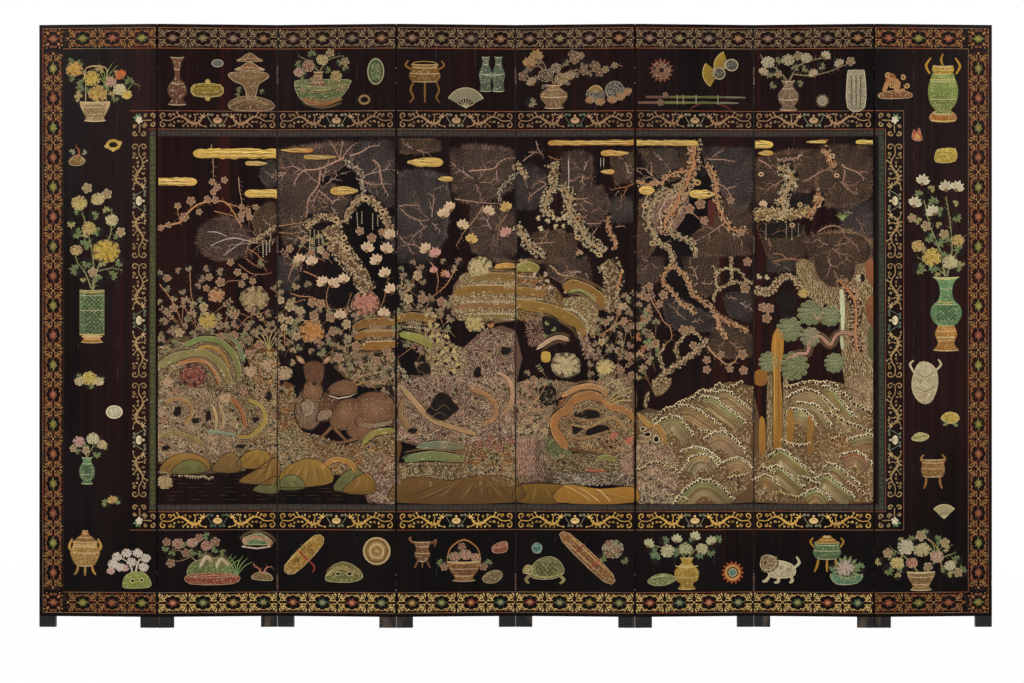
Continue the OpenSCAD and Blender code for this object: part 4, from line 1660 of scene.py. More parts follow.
PLUM_BOUGH = """
fur 0 needles 7 264,243 196,243 199,230 208,220 222,216 238,219 250,228 254,240 247,252 234,260 218,261
 204,254
fur 0 warm 7 270,246 251,222 257,208 268,203 276,204 276,232 266,238 256,236
fur 0 grey 7 288,172 259,176 264,162 276,158 276,187 266,186
line 1.2 #b9ab9a 1.1 252,242 245,240 236,238 228,238.5 219,241.5 210,246
line 1.2 #b9ab9a 0.8 226,236 216,232 206,232
244,240 230,250 222,256
trunk 1.2 bark 4 249,242 258,238 264,233 276,226
twig 1.2 #a06844 1.0 248,249 256,254 266,263
beads 1.3 #d8cbb0 0.6 262,241 262.4,257
265.4,241 265.6,256
268.6,240 268.8,252
twig 1.3 #a8784f 1.9 158,228 169,225 181,222 189,212 197,205 207,202 219,201 226,203 233,212 237,220
 241,226
twig 1.3 #a8784f 0.9 214,211 230,215 238,218
twig 1.3 #b8926c 0.8 211,145 213,164 213,180
238,177 239,190 242,206
twig 1.3 #a8784f 0.9 181,222 178,212 178,204
213,200 214,190 217,182
226,203 240,207 254,206
blossom 1.8 plum 4.8 184.5,217 191,201
blossom 1.8 plum 3.6 178,206 212,182 217,187 224,180 213,192 207,199 215,200 241,214 247,211 240,219
 249,217
blossom 1.8 plum 3.2 241,207 255,207 199,212 161,228 169,225
"""

ROCKERY = """
foliage 0 any 11 160,306 200,300 222,306 262,306 276,312 276,350 246,356 222,338 190,338 160,348
twig 0 #a8784f 1.1 190,272 191,292 193,305 196,330
182,297 186,310 194,324
160,284 172,300 180,318 186,334
twig 0 #96664a 1.2 245,258 254,265 261,268
259,258 263,266 266,272
238,264 250,273 262,274 270,273
222,286 228,281 240,280 256,275
twig 0 #96664a 1.1 236,330 246,318 256,314 272,310
leaves 0.4 any 5.4 160,275 170,276 180,271 188,267 166,287 182,290 175,297 197,287 161,303 170,309 163,322
175,325 184,327 219,325 231,317 236,323 250,326 259,330 270,322 162,342 174,344 202,300
164,334 200,278 265,300 272,286 262,262 208,268 222,272 188,318 246,344 262,345 268,333
blossom 0.9 plum 3.5 230,262 209,277 237,272 244,276 241,284 252,281 206,288 167,278
blossom 0.9 plum 4.8 220,282
mum 0.6 #b0754a 8.5 216,295
mum 0.6 #a98a5e 14.5 253.5,298.5
mum 0.6 #bc9848 9.5 208,321
grass 0.5 #a5915a 26 268,350
grain 0 moss 2.1 158,346 200,338 236,352 244,372 262,380 277,385 277,452 240,470 158,462
grain 0.3 curly 2.0 158,392 205,388 242,428 236,455 158,458
grain 0.3 sandy 2.0 244,350 277,350 277,456 246,452 262,410
ribbon 0.8 #6a7452 5.5 243,361 239,346 232,338 222,334
ribbon 0.8 #6c7a44 6.5 187,345 196,340 206,338.5 217,340 226,346 233,354 237,365 238,378
ribbon 0.8 #9c7430 3.5 196,350 207,346 217,349 224,357 229,370
ribbon 0.8 #7c7448 8.5 158,367 172,358 185,354 197,352 207,354 217,361 224,370 230,384
ribbon 0.8 #9a5e30 4 178,364 192,360 205,362 214,371 219,384
teeth 1.3 #dcc8a0 -3 172,364 185,360 197,358 207,360 216,368 222,380
mum 1.3 #8a4636 14 193,375
mum 1.2 #b8926a 6.5 168,382 250,371 266,365 225,398
ribbon 0.8 #8f5030 4.6 225,395 235,402 242,412 245,427
ribbon 0.8 #96803c 4.6 248,400 258,404 264,412 264,422 257,430 248,436 236,436
ribbon 0.8 #7f9a7c 3.5 208,431 220,432 236,435
ribbon 0.8 #c0a070 3 212,405 216,416 215,428
ribbon 0.8 #b4946a 3 219,404 223,416 222,429
ribbon 0.8 #9c7444 4 166,402 176,398 188,402 192,412 184,424
ribbon 0.8 #8c7a48 4.4 160,436 174,432 190,436 204,444
hole 1.6 #54402c 1 195,420 4,2.6 208,415 2.6,6 255,419 3.4,2.8 178,411 4,5 240,446 5,2 166,447 4,2.4
 268,396 3,5
blossom 1.5 plum 4.4 243,391 262,393 273,415 176,390 164,420
water 0 #5e4a30 4 160,463 276,502
hill 1 #8c6630 2 160,471 168,458 184,452 200,455 210,463 206,472 184,474
hill 1.3 #6f6a3a 1 172,473 182,461 198,460 206,471
hill 1 #7a5c30 1 212,470 222,456 232,452 241,462 236,472
hill 1 #96702f 2 236,466 246,452 262,449 270,458 262,468
hill 1.2 #8a652e 2 238,481 254,470 277,457 277,482 258,484
hill 1.4 #6f6c3e 1 252,490 266,480 277,476 277,493
mum 1.3 #a98c60 8 165,481
foam 0.6 #c8b48c 2.6 160,473 190,476 214,479
"""

BENT_PINE = """
foliage 0 any 10 284,244 326,236 330,262 290,262
fur 0 needles 7.5 322,186 277,150 300,146 330,143 352,142 352,160 338,172 322,178 316,200 300,222 277,226
fur 0 grey 7.5 360,178 352,143 375,141 396,142 396,205 384,208 372,196 360,182 352,166
fur 0 needles 7 330,206 307,192 330,184 348,190 356,204 344,218 322,220 308,212
fur 0 grey 6 300,272 277,256 286,254 298,262 300,278 290,292 277,292
fur 0 warm 6 310,234 280,222 300,214 312,228 302,244 284,246
fur 0 grey 6 380,240 384,222 396,214 396,256 386,250
twig 1.2 #a8806a 1.0 340,160 335,150 330,141
340,160 341,150 344,140
twig 1.2 #a8806a 0.9 342,158 350,148 358,142
twig 1.1 #a8806a 1.6 344,158 330,164 318,169 305,170 298,175 293,185
twig 1.1 #a8806a 0.9 300,170 292,166 284,168
twig 1.1 #a8806a 1.6 320,170 319,180 317,187 309,197 307,205 306,218
twig 1.1 #a8806a 1.0 318,190 329,199 333,204
twig 1.1 #a8806a 1.2 350,156 362,152 370,147 380,146
twig 1.1 #a8806a 1.4 373,160 379,165 381,175 383,185 389,196
twig 1.1 #986e50 1.1 278,226 290,224 305,222
twig 1.1 #986e50 1.0 278,232 292,233 305,230
twig 1.1 #a8806a 0.9 296,258 290,272 287,280
356,178 368,184 392,184
trunk 1.2 grey_bark 5.5 345,160 350,165 360,172 363,185 364,198
trunk 1.2 bark 7.5 306,227 318,217 332,217 341,224
trunk 1.2 bark 9 390,231 385,216 378,206 368,198 358,200 350,210 345,223
trunk 1.3 bark 19 331,226 338,245 350,262 357,270 369,292
knot 1.6 #b8966c 3.4 344,238 347,248 336,220 366,199 383,212
beads 1.2 #b3a280 0.65 310,230 309,250
314,230 314,246
318,231 319,252
323,232 322,243
357,213 358,228
362,212 362,224
373,214 373,230
378,216 378,227
blossom 2 plum 4.7 360,231 372,238
blossom 2 plum 3.6 330,248 311,252 382,232 303,240
magnolia 1.8 #d2b490 8 367,251 386,252 378,263 392,238
"""

DEER_BANK = """
foliage 0 any 12 278,290 316,296 346,312 366,316 396,300 396,392 362,388 330,356 300,344 278,352
twig 0 #a8784f 1.3 303,271 315,276 324,284
290,293 300,296 312,297 322,303 331,309 345,308
twig 0 #a8784f 1.1 292,303 305,299
334,322 326,300 330,282
284,345 284,330 286,312
372,330 384,300 390,270
350,330 346,312 352,292
magnolia 0.6 #d2b490 7.5 332,286 344,282 340,318 324,284 386,276 392,292 384,316 300,262 312,264
mum 0.5 #b8765f 14.5 366,303
mum 0.5 #bb7c3c 13 311,331
mum 0.5 #b08e68 8 284,373
blossom 0.7 pale 4 283,327 289,320 281,318 296,336 300,310 280,300
leaves 0.4 any 5.6 349,322 352,333 348,341 342,350 352,350 375,355 364,362 378,370 386,364 330,336 322,346
300,346 292,352 338,334 392,352 396,372 334,362 344,366 356,372 280,350 281,390 312,352
280,284 296,284 308,286 392,330 388,342 366,276 374,284 354,270 290,362 318,312
ribbon 0.6 #7a5226 9 355,328 368,322 396,322
ribbon 0.7 #845a2a 9 356,338 368,333 396,333
ribbon 0.8 #8a5c2a 9 362,347 374,345 396,344
teeth 1.3 #dcc8a0 -4 366,328 396,327
366,338 396,337
grain 0 sandy 2.1 277,392 292,384 300,430 345,446 396,430 396,466 360,474 277,466
grain 0 rosy 2.0 362,462 396,452 396,502 368,502
pebbles 0.2 moss 2.8 277,428 310,436 330,470 300,484 277,470
grain 0 moss 2.4 330,352 396,356 396,384 352,384
ribbon 0.8 #a87638 6 322,468 334,459 350,462 356,472
ribbon 0.8 #87803f 7 364,442 376,432 396,430
hill 1 #94702f 3 277,476 290,464 310,458 328,466 332,482 300,487 277,486
hill 1.3 #6f6c3e 1 277,489 284,476 298,476 304,488
hill 1 #69683a 2 334,490 342,474 356,468 370,478 372,490
hill 1.3 #8c662e 2 343,492 352,480 368,472 376,484 372,493
water 0 #5e4a30 4 277,488 372,502
"""

PINE_GROVE = """
fur 0 needles 8 476,182 450,150 470,145 500,147 516,150 516,186 500,196 476,204 454,200
fur 0 grey 8 430,222 397,172 420,170 446,176 450,200 446,236 430,262 397,262
fur 0 needles 7 494,232 470,204 500,206 516,208 516,256 490,262 472,250
fur 0 warm 7 414,150 397,140 440,140 440,152 400,154
twig 1.1 #a8806a 1.2 469,171 480,170 495,168 500,162 508,158 516,158
twig 1.1 #a8806a 1.0 497,170 498,182
twig 1.1 #a8806a 1.2 455,199 470,201 485,203 505,203
twig 1.1 #a8806a 1.1 398,207 405,205 418,206
400,209 408,216 422,221 430,219
twig 1.1 #a8806a 0.9 419,221 425,229
twig 1.1 #a8806a 1.1 399,236 405,243 419,246
twig 1.1 #a8806a 0.9 408,247 413,255
twig 1.1 #986e50 1.2 484,205 478,215 471,224 464,232 456,246
twig 1.1 #986e50 0.9 508,214 500,226 498,244
trunk 1.2 grey_bark 5 516,173 510,180 502,188 500,201
magnolia 1.8 #d2b48c 7.5 451,210 443,217 488,214 427,251 462,228
magnolia 1.8 #c8a45c 7.5 508,210 471,242
magnolia 1.8 #c49080 7.5 508,235 436,256
"""

CAVE_ROCKS = """
foliage 0 any 12 397,268 424,262 420,290 440,300 462,292 462,314 430,360 397,366
twig 0 #a8784f 1.3 430,262 436,270 438,280 436,292
456,265 452,275 446,285 437,293 429,300 426,312
twig 0 #a8784f 1.1 400,300 410,288 416,274
462,300 458,286 466,272
leaves 0.4 any 5.2 448,300 446,308 455,313 405,283 412,288 404,297 408,309 420,308 400,270 412,264 422,280
 398,288
430,318 462,296 452,268 460,262 444,262 420,294
mum 0.6 #c8af78 12.5 480,267
mum 0.6 #bfa564 10 475,323
leaves 0.8 #b4743c 5 491,323 445,275
magnolia 0.8 #c88c7c 5 445,276 434,272
grain 0 rosy 2.1 485,330 516,330 516,386 430,386 430,362 460,350
pebbles 0.1 foamy 2.4 427,312 445,335 455,345 466,350 464,376 430,374 424,340
grain 0.2 rosy 2.0 397,380 430,376 516,376 516,440 458,446 397,440
grain 0.2 sandy 2.1 458,446 516,440 516,478 460,476
grain 0.2 moss 2.1 397,462 516,466 516,486 397,486
ribbon 0.8 #c09048 6 496,267 506,265 516,266
pebbles 0.4 foamy 2.2 462,274 516,272 516,320 458,320 452,300
ribbon 0.8 #7c6230 8 474,279 490,276 520,277
ribbon 0.8 #84602c 11 456,292 480,289 520,290
ribbon 0.8 #8a6440 8 458,307 480,305 520,306
ribbon 0.8 #76683c 5 470,316 520,316
teeth 1.3 #dcc8a0 -4.5 476,281 516,281
teeth 1.3 #dcc8a0 -5 466,297 516,297
teeth 1.3 #dcc8a0 -4 478,310 516,310
ribbon 0.8 #84602c 9 394,320 412,316 434,320
teeth 1.3 #dcc8a0 -4 402,323 430,325
ribbon 0.8 #80803f 9 400,334 418,338 432,346
blossom 1.2 pale 3.4 496,302 508,286 444,444
leaves 1.2 #c8ac68 3.6 428,316 432,322 438,326 440,333 446,338 446,346 452,350 454,358 436,340 430,334
 440,352
446,362 436,362 458,366 452,372 428,326
hole 1.4 #5c4430 1 424,368 6,6 442,408 15,14 506,350 5,4 478,372 4,5 412,430 5,3
line 1.9 #8f7850 0.7 428,404 436,410 444,404 452,412
432,416 440,412 448,418
trunk 1.3 grey_bark 5 398,367 405,375 412,385
ribbon 1.3 #b08a62 5.5 400,385 415,402 430,418 450,426 476,434
ribbon 0.9 #a5744c 5 470,388 486,394 496,404 494,418 482,424
ribbon 0.9 #b58a68 5 500,372 512,384 512,402 504,414
ribbon 0.9 #8c6a48 5 402,398 400,414 408,426 420,432
ribbon 1 #66745a 8 418,446 440,444 462,447
ribbon 1 #66744a 10 404,459 430,455 464,459
teeth 1.6 #1a100c -4 406,462 462,462
blossom 1.4 pink 3.8 479,444 488,444 491,437 500,447 512,441
hill 0.8 #6c4c24 4 397,502 397,482 420,476 450,480 480,475 516,479 516,502
"""

PINE_HOLLOW = """
fur 0 needles 7 584,172 562,154 580,150 593,156 594,193 578,196 562,190
fur 0 grey 7 530,190 517,170 530,164 547,172 547,206 530,209 517,208
622,190 610,197 634,196 634,222 614,222
fur 0 warm 7 552,228 534,232 560,228 578,236 577,262 534,262
fur 0 needles 7 590,214 574,190 604,186 612,206 600,226 580,224
fur 0 warm 6 626,160 612,158 636,150 636,182 616,184
line 1.2 #cdbfae 0.9 569.6,159 570,172 570,187
line 1.2 #cdbfae 0.6 602,158 602,168
605,158 605,168
trunk 0.8 husk 12 553,163 556,172 552,183
twig 1.1 #a8806a 0.9 569,180 574,181 580,177 593.5,179
twig 1.1 #a06844 0.9 549.7,156 556,159 562,160
twig 1.1 #a8806a 0.9 537,141 540,150 545,156
twig 1.1 #a8806a 0.8 529.5,152 542.5,152
524,161 530,156 536,152
twig 1.1 #a8806a 1.0 540,180.6 547,184 537,191.5 529,198
572.4,198 581,199 591,198
twig 1.1 #a8806a 0.8 585,201 595,204.5
twig 1.1 #a06844 1.0 638,182.7 629,186.7 620,188.3 610.5,190.8
twig 1.1 #a06844 0.8 629,188 626,193 621.8,199.7
twig 1.1 #a8806a 0.9 528.7,244 545,242.6 558,241.8
617,227 626,225.6
588,223.5 604,223.5
593.5,235 600,226
trunk 1.2 bark 8 516,164 522,170 528,177
pine 1.2 husk 7.5 558,182 550,193 547,201 547,209.5 551,216
pine 1.2 husk 9 563,187 569,193 572,201 569,208 575,217.5 581,225.6 585,236 593.5,243.4 605.6,252
pine 1.2 husk 7 517,225.6 524.6,233.7 528.7,245 536.8,250 546,258
pine 1.2 ember 4 608,217.5 609.7,225.6 613,235.3 615.3,241.8 616,249
knot 1.8 #9c6c44 3.4 579,219
knot 1.8 #b8966c 3 579,237.3 600.4,254.7
leaves 1.3 #c8b080 4 541,218 548,222 544,228 553,217 560,221 567,217 572,223 558,227 540,229 566,226
leaves 1.3 #a8835c 5 581,254.7 524.6,258.8
"""

C_ROCK = """
foliage 0 any 9 602,300 634,300 634,384 606,392 588,380 592,340
517,372 552,372 556,436 517,436
fur 0 needles 6 586,272 546,257 590,257 593,280 570,286 550,276
twig 1 #b8926c 1.2 550.5,265 556,269 561,274.4 575,275.6
trunk 0.4 husk 19 608,262 616,278 611,294 617,309
pebbles 0.1 foamy 2.2 564,298 590,297 600,312 596,338 584,330 566,312
grain 0 sandy 2.1 517,262 560,290 566,310 540,318 517,318
mum 0.5 #c4ac7c 15 567,365
fibres 0.2 rosy 1.6 536,330 527,318 547,317 547,344 530,346
ribbon 0.8 #87803f 10 518,268 530,266 540,270
teeth 1.3 #dcc8a0 -4 519,272 538,274
leaves 0.9 #c9a890 4 537,275 545,274 548,282 540,286 552,289
teeth 1.3 #dcc8a0 -3.5 518,296 545,296
ribbon 0.9 #84602c 9 516,291 530,291 546,294
ribbon 1 #84642c 11 516,303 540.8,306.4 557,310.4 569.2,317 579.7,324.2 586,335
ribbon 1 #8c6430 11 565,289 574,284.5 585.4,287.8 596,293.4 603,300.7 606,307
ribbon 1.5 #7e8044 3 570,292 580,290 590,295 597,302
teeth 1.6 #e0cfa6 -5 566,304 580,308 590,318 594,332
trunk 1 rosy 11 584,330 586,344 592,358
twig 1 #b8743c 1.8 623.4,269 621,281 617.8,289
twig 1 #a8784f 1.1 621,302 621,311 615,324
twig 1 #a8784f 1.2 601.6,335.5 615,325.8 624,321 633,320
leaves 0.6 any 5 626,298 628,309 606,337 611,346 601.6,348.5 598,355 624,336 632,300 612,316 630,326
blossom 1.2 plum 4 630,356 622,370
mum 1 #cdb070 9.5 606.4,367
plate 0.8 #0a0605 0 543,318 552,316 561,322 560,340 548,340
leaves 1.1 #7c8a50 3.6 549,322 554,328 547,334
ribbon 1.2 #c4a080 5 539,348 551,340 561,337 570,340
plate 1.2 #c09a44 1 543,352 551,352 551,361 543,361
grain 0 curly 2.1 517,384 545,380 585,384 556,400 548,436 517,440
curls 0 leafy 3 541,437 569,437 572,458 541,456
grain 0 moss 2.1 541,456 634,452 634,474 553,474
grain 0 curly 2.1 600,372 634,376 634,420 610,404
leaves 0.5 #a8785c 5 528.7,385 527,393 522,403 542.5,407 537,412.5 535,420 524,414
twig 0.7 #a8784f 1.4 547,383 543,392 535,403 527,413 518,421
plate 0.6 #0a0605 0 541,387 556,387 556,403 543,403
blossom 1 pale 3 521,430 529,431 537,428 546,431
grain 0.5 sandy 1.9 560,400 600,392 634,404 634,450 590,452 560,444
hole 1.1 #6a4c30 0 590,414 12,5 600,430 16,5 578,428 6,6
ribbon 1.3 #a0693c 9 568,447 561,438.4 556,428.7 555.4,420.6 561,413.3 569,409 574,401 581,397 593,394.7
 604,399.6
ribbon 1.3 #a0693c 7 604,399.6 612,406 626,409.3 635,419
ribbon 1.3 #ad7c50 6 563,396 577,388.2 589.4,385.8 601.6,388.2 609,395
ribbon 1.2 #9a7a50 4 572,424 588.6,427 597.5,424 605.6,419 616,417.4 623.4,424 628,432
ribbon 1.2 #8a6440 3 570,436 584,438 600,434 612,430
ribbon 1.2 #7c5c3c 2.6 578,413 590,408 602,411
line 1.9 #b8a468 1 608,403 618,392 634,386.6
608,404 620,396 634,391
610,405 622,400 634,399.6
603,388 614,381 622,378.5
magnolia 1.6 #b8604c 5 617,437 632,442
blades 0 rosy 1.6 0,-4 516,436 545,436 553,480 516,484
fibres 0.6 rosy 1.5 526,500 518,439 536,439 536,476 518,476
629,500 622,439 634,439 634,476 622,476
ribbon 0.8 #7f7c44 7 598,459 608,457 618,460
ribbon 0.8 #8e4c30 4 588,470 607,470
grain 0.4 grey_bark 2 553,472 634,472 634,483 553,483
hill 0.9 #7a5820 2 517,502 518,486 540,483 569,486 569,502
hill 1.1 #a8762f 3 558,502 566,484 600,488 634,486 634,502
line 1.8 #dcb878 0.8 565,484.6 580,492 593.5,501
580,487 592,494 602,502
598,488 606,494 612,501.6
"""

RED_PINE = """
fur 0 warm 7 676,196 637,150 690,148 690,176 664,186 640,200 637,256 650,258 660,240 650,214 668,192
fur 0 grey 7 716,186 700,148 754,148 754,200 738,216 724,196 712,176
fur 0 warm 7 728,222 720,200 754,206 754,254 700,256 690,236 706,226
fur 0 grey 6 664,162 652,150 676,150 680,172 660,178
curls 0.4 rosy 2.6 658,196 684,188 690,200 684,220 668,236 654,226 648,208
beads 1.2 #cbb694 0.8 652,186 646,200 643,217
680,194 666,200 660,212 662,226
pine 1.2 ember 9 694.8,141 696,150 694,156 695.6,163 691.6,171 689,181 685,188 681,193 679,203 674,211
 668,217 665,225 668,231
pine 1.2 ember 5 688,172 681,172 673,174 665,180 654,185 637,183
pine 1.2 husk 6 684,188 676,189 666,192 657,198 651,205 648.6,213 648,223 651,229 656,236
pine 1.2 ember 5 708,164 713.4,171 716,181 718,198 720,207 724,217 730,225 737,231 749,229
pine 1.2 husk 4.4 668,230 676,235 684,238 692.4,242 695.6,249.5 697,257
656,235 659,243 671,249.5 674,262
twig 1.1 #a8806a 0.9 652,176 645,169 636,168.8
twig 1.1 #a8806a 0.8 652,176 652,162
twig 1.1 #a8806a 1.0 708.6,158.7 717.5,159.5 725.6,159.5 737,162
twig 1.1 #a8806a 0.9 713.5,157 720,152 725,150.6
twig 1.1 #a8806a 1.0 716.7,183 724,186 729.6,191 734.5,200
twig 1.1 #a8806a 0.8 729,188 738,186
691.6,241.3 702,239.3
twig 1.1 #986e50 0.9 692,212 703,222 703.7,229
blossom 1.9 plum 5 690.3,209 701.3,204
blossom 1.9 plum 4.2 705.3,220.3 732,200 742,232
knot 1.8 #b8966c 3.2 645.4,205.7 710,193.5 653,243.4
knot 1.8 #b08a50 3.6 698.4,182.6
plate 0.9 #4a1c14 0 709,201 716,204 716,222 710,225
plate 0.9 #0c0807 0 700,168 708,168 708,176 701,176
"""

PLUM_AND_WAVES = """
foliage 0 any 10 637,286 656,292 660,340 650,384 637,392
fur 0 needles 6 650,262 637,257 664,257 664,276 650,286 637,282
fur 0 warm 6 700,282 682,257 720,257 720,290 706,297 690,286
fur 0 grey 6 690,322 661,297 684,300 713,316 716,330 690,332 668,326
fur 0 warm 6 728,340 716,322 754,334 754,356 728,358 706,350
fur 0 grey 5 740,300 724,294 754,290 754,322 730,316
pine 1.2 ember 3.6 673,263 665,274 662.4,280 667,286 673,292 678,298 683,304 691,308 697,314
pine 1.2 ember 4 675,265 683,273 688,280 693,290 696,296 704,301.5 712,308 718,315 728,320 738,326 750,330
pine 1.2 ember 2.8 718,315 719,325 722.4,330.4 728,338
trunk 1.2 bark 3.4 732,257 733,270 732,281
trunk 1.2 bark 3.2 715,266 716.7,273.7 716,280 718,287 721.5,290
754,282.6 742,282 732,282.6 725.6,286.7 720,289 715,295.6 716,302
trunk 1.2 bark 3 717,273 725.6,268.8 733.7,268.8 741,271 749,281
twig 1.1 #986e50 1.2 651,296 654,304 660,313 664,321 670,326 672,333 672,338.5 667,343 662,347
trunk 1.3 bark 7 655,384 665,374 671,368.5 681,363 687.5,358 696,353 702,346 709,338
trunk 1.3 bark 4 665,371 662.4,364 660,357 662.4,349 665,344
679.4,358 677,351 678,345 681,340 685,335 692.4,332 699,334.5 703,340
twig 1.3 #b58a62 2 708.6,345.8 714,353 720,358 727,363.7 734.5,362.8 739,357
blossom 1.9 plum 4.8 684.3,329.6 749,261.6 746.7,288.3 744,354 745,370 664,294.8
blossom 1.9 plum 3.9 692,329 694,345 707.8,359.6 707.8,369.3 731.3,368.5 722.4,354 647.8,297.2 650,286
 660,303.7
leaves 0.6 #94583c 5.6 651.8,309.4 640.5,319 641,336 646,350
leaves 0.6 #6f7f50 5.6 643,313.4 643.7,326.4 647,339.3 656,352
leaves 0.6 #a8835c 5 654.3,334.5 656,344 640,356 640,298 676,348 640,368 648,364
curls 0.6 foamy 2.4 652,380 672,378 668,390 656,396
trunk 1 bark 4 648.6,392 645,407
plate 0 #5e442a 0.3 655,420 684,402 705,392 754,388 754,502 637,502 637,446
curls 0.2 foamy 3.1 655,420 684,400 705,390 754,386 754,486 700,502 637,502 637,446
grain 0.2 rosy 2 637,438 668,440 681,470 676,500 637,492
grain 0.3 moss 2 637,412 660,410 668,440 637,440
grain 0.4 grey_bark 2 637,490 676,490 676,502 637,502
ribbon 1 #a0743c 6 639,414.5 648.6,423.4 660,428 666,442
hole 1.4 #c8b088 1 648,434 3.4,2.4 657,438 2.6,3 643,428 2,2
foam 2 #e8d2a0 3.5 655,420 661,415 666,409.6 677,405.5 684,400.7 691.6,400 700,393 705,390 713,392.6
 720,384 728,388 744,382
wave 0.9 tan 1.1 716,393 730,392 746,404 756,412
wave 1 green 1.1 702,398 713.4,397 730,409 738,414 748,424
wave 1.1 tan 1.1 681,406 694,407 705,414 718,423 728,434
wave 1.2 olive 1.1 657,425 669,416 678,417 684,422 689,428 695,436
wave 1.2 rose 1.2 706,438 716,433 726,433 738,441 747,452
wave 1.3 olive 1 682,451 695.6,447 705,449 714,454 724,464
wave 1.4 gold 1 684,470 690,460 698,455 706,455 713.4,458 720,466
wave 1.4 tan 0.9 726,462 738,458 748,462 756,472
wave 1.5 green 1.3 674,504 682,494 692,484 703,480 714,481.7 724,488 736,500
"""

OLD_PINES = """
fur 0 warm 7 790,176 757,158 790,150 822,150 824,176 806,196 780,200 757,206
838,180 822,146 874,146 874,196 852,208 828,206 816,188
fur 0 warm 6 770,236 757,224 776,222 806,226 806,256 770,258
fur 0 grey 6 856,214 838,208 874,200 874,250 852,248
trunk 0.6 foamy 12 756,215 770,212 784,216 798,213 812,208
fur 1 warm 7 832,246 806,236 850,230 874,240 874,262 850,268 812,262
plate 0.8 #0a0605 0 790,194 812,194 812,206 790,206
762,224 802,224 798,236 768,237
beads 1.2 #cbb694 0.65 767.7,224 767.7,240
788,224 788,238
793.6,224 793.6,241
800,224 800,236
line 1.1 #8e4a34 3 822,140 826,141 830,140
pine 1.2 ember 5 825,149 830,155 833,162 834,168
trunk 1.2 rosy 3.4 804,154.6 792.8,159.5 778,159.5
twig 1.2 #a8806a 1.4 760.4,159.5 768.5,163.6 773.4,168.4
pine 1.2 husk 9 781,168 789,171 794,177 791,185 789,191 785,196 783,201 786,209 790,216
pine 1.2 ember 6 818,192.7 822,197 817,205 813,211 809,218
twig 1.1 #a8806a 1.2 805,181.4 810.6,179 817,175 827.7,170 837.4,172.5
843,164.4 848,168.4 856.8,171.7 863.3,176.5 865,181
twig 1.1 #a8806a 0.9 860,172.5 869,171.7
twig 1.1 #a8806a 1.1 846.3,170 845.5,178 844.7,184.6 852,191 859.3,195
twig 1.1 #a8806a 1.2 819.6,231.6 828.5,226.8 837.4,226 844.7,230 846.3,236.5 854.4,242.2 861,252
twig 1.1 #986e50 1.1 775,253.5 783,254.3 791,259 809,260
knot 1.8 #b8966c 2.8 781.9,200 801.7,204.5 794,225 769.7,218.7 838.2,175.7 833.7,156 762.8,174
grass 1.1 #7f8c54 9 844,221
magnolia 1.4 #ccae8c 5 765,206
"""

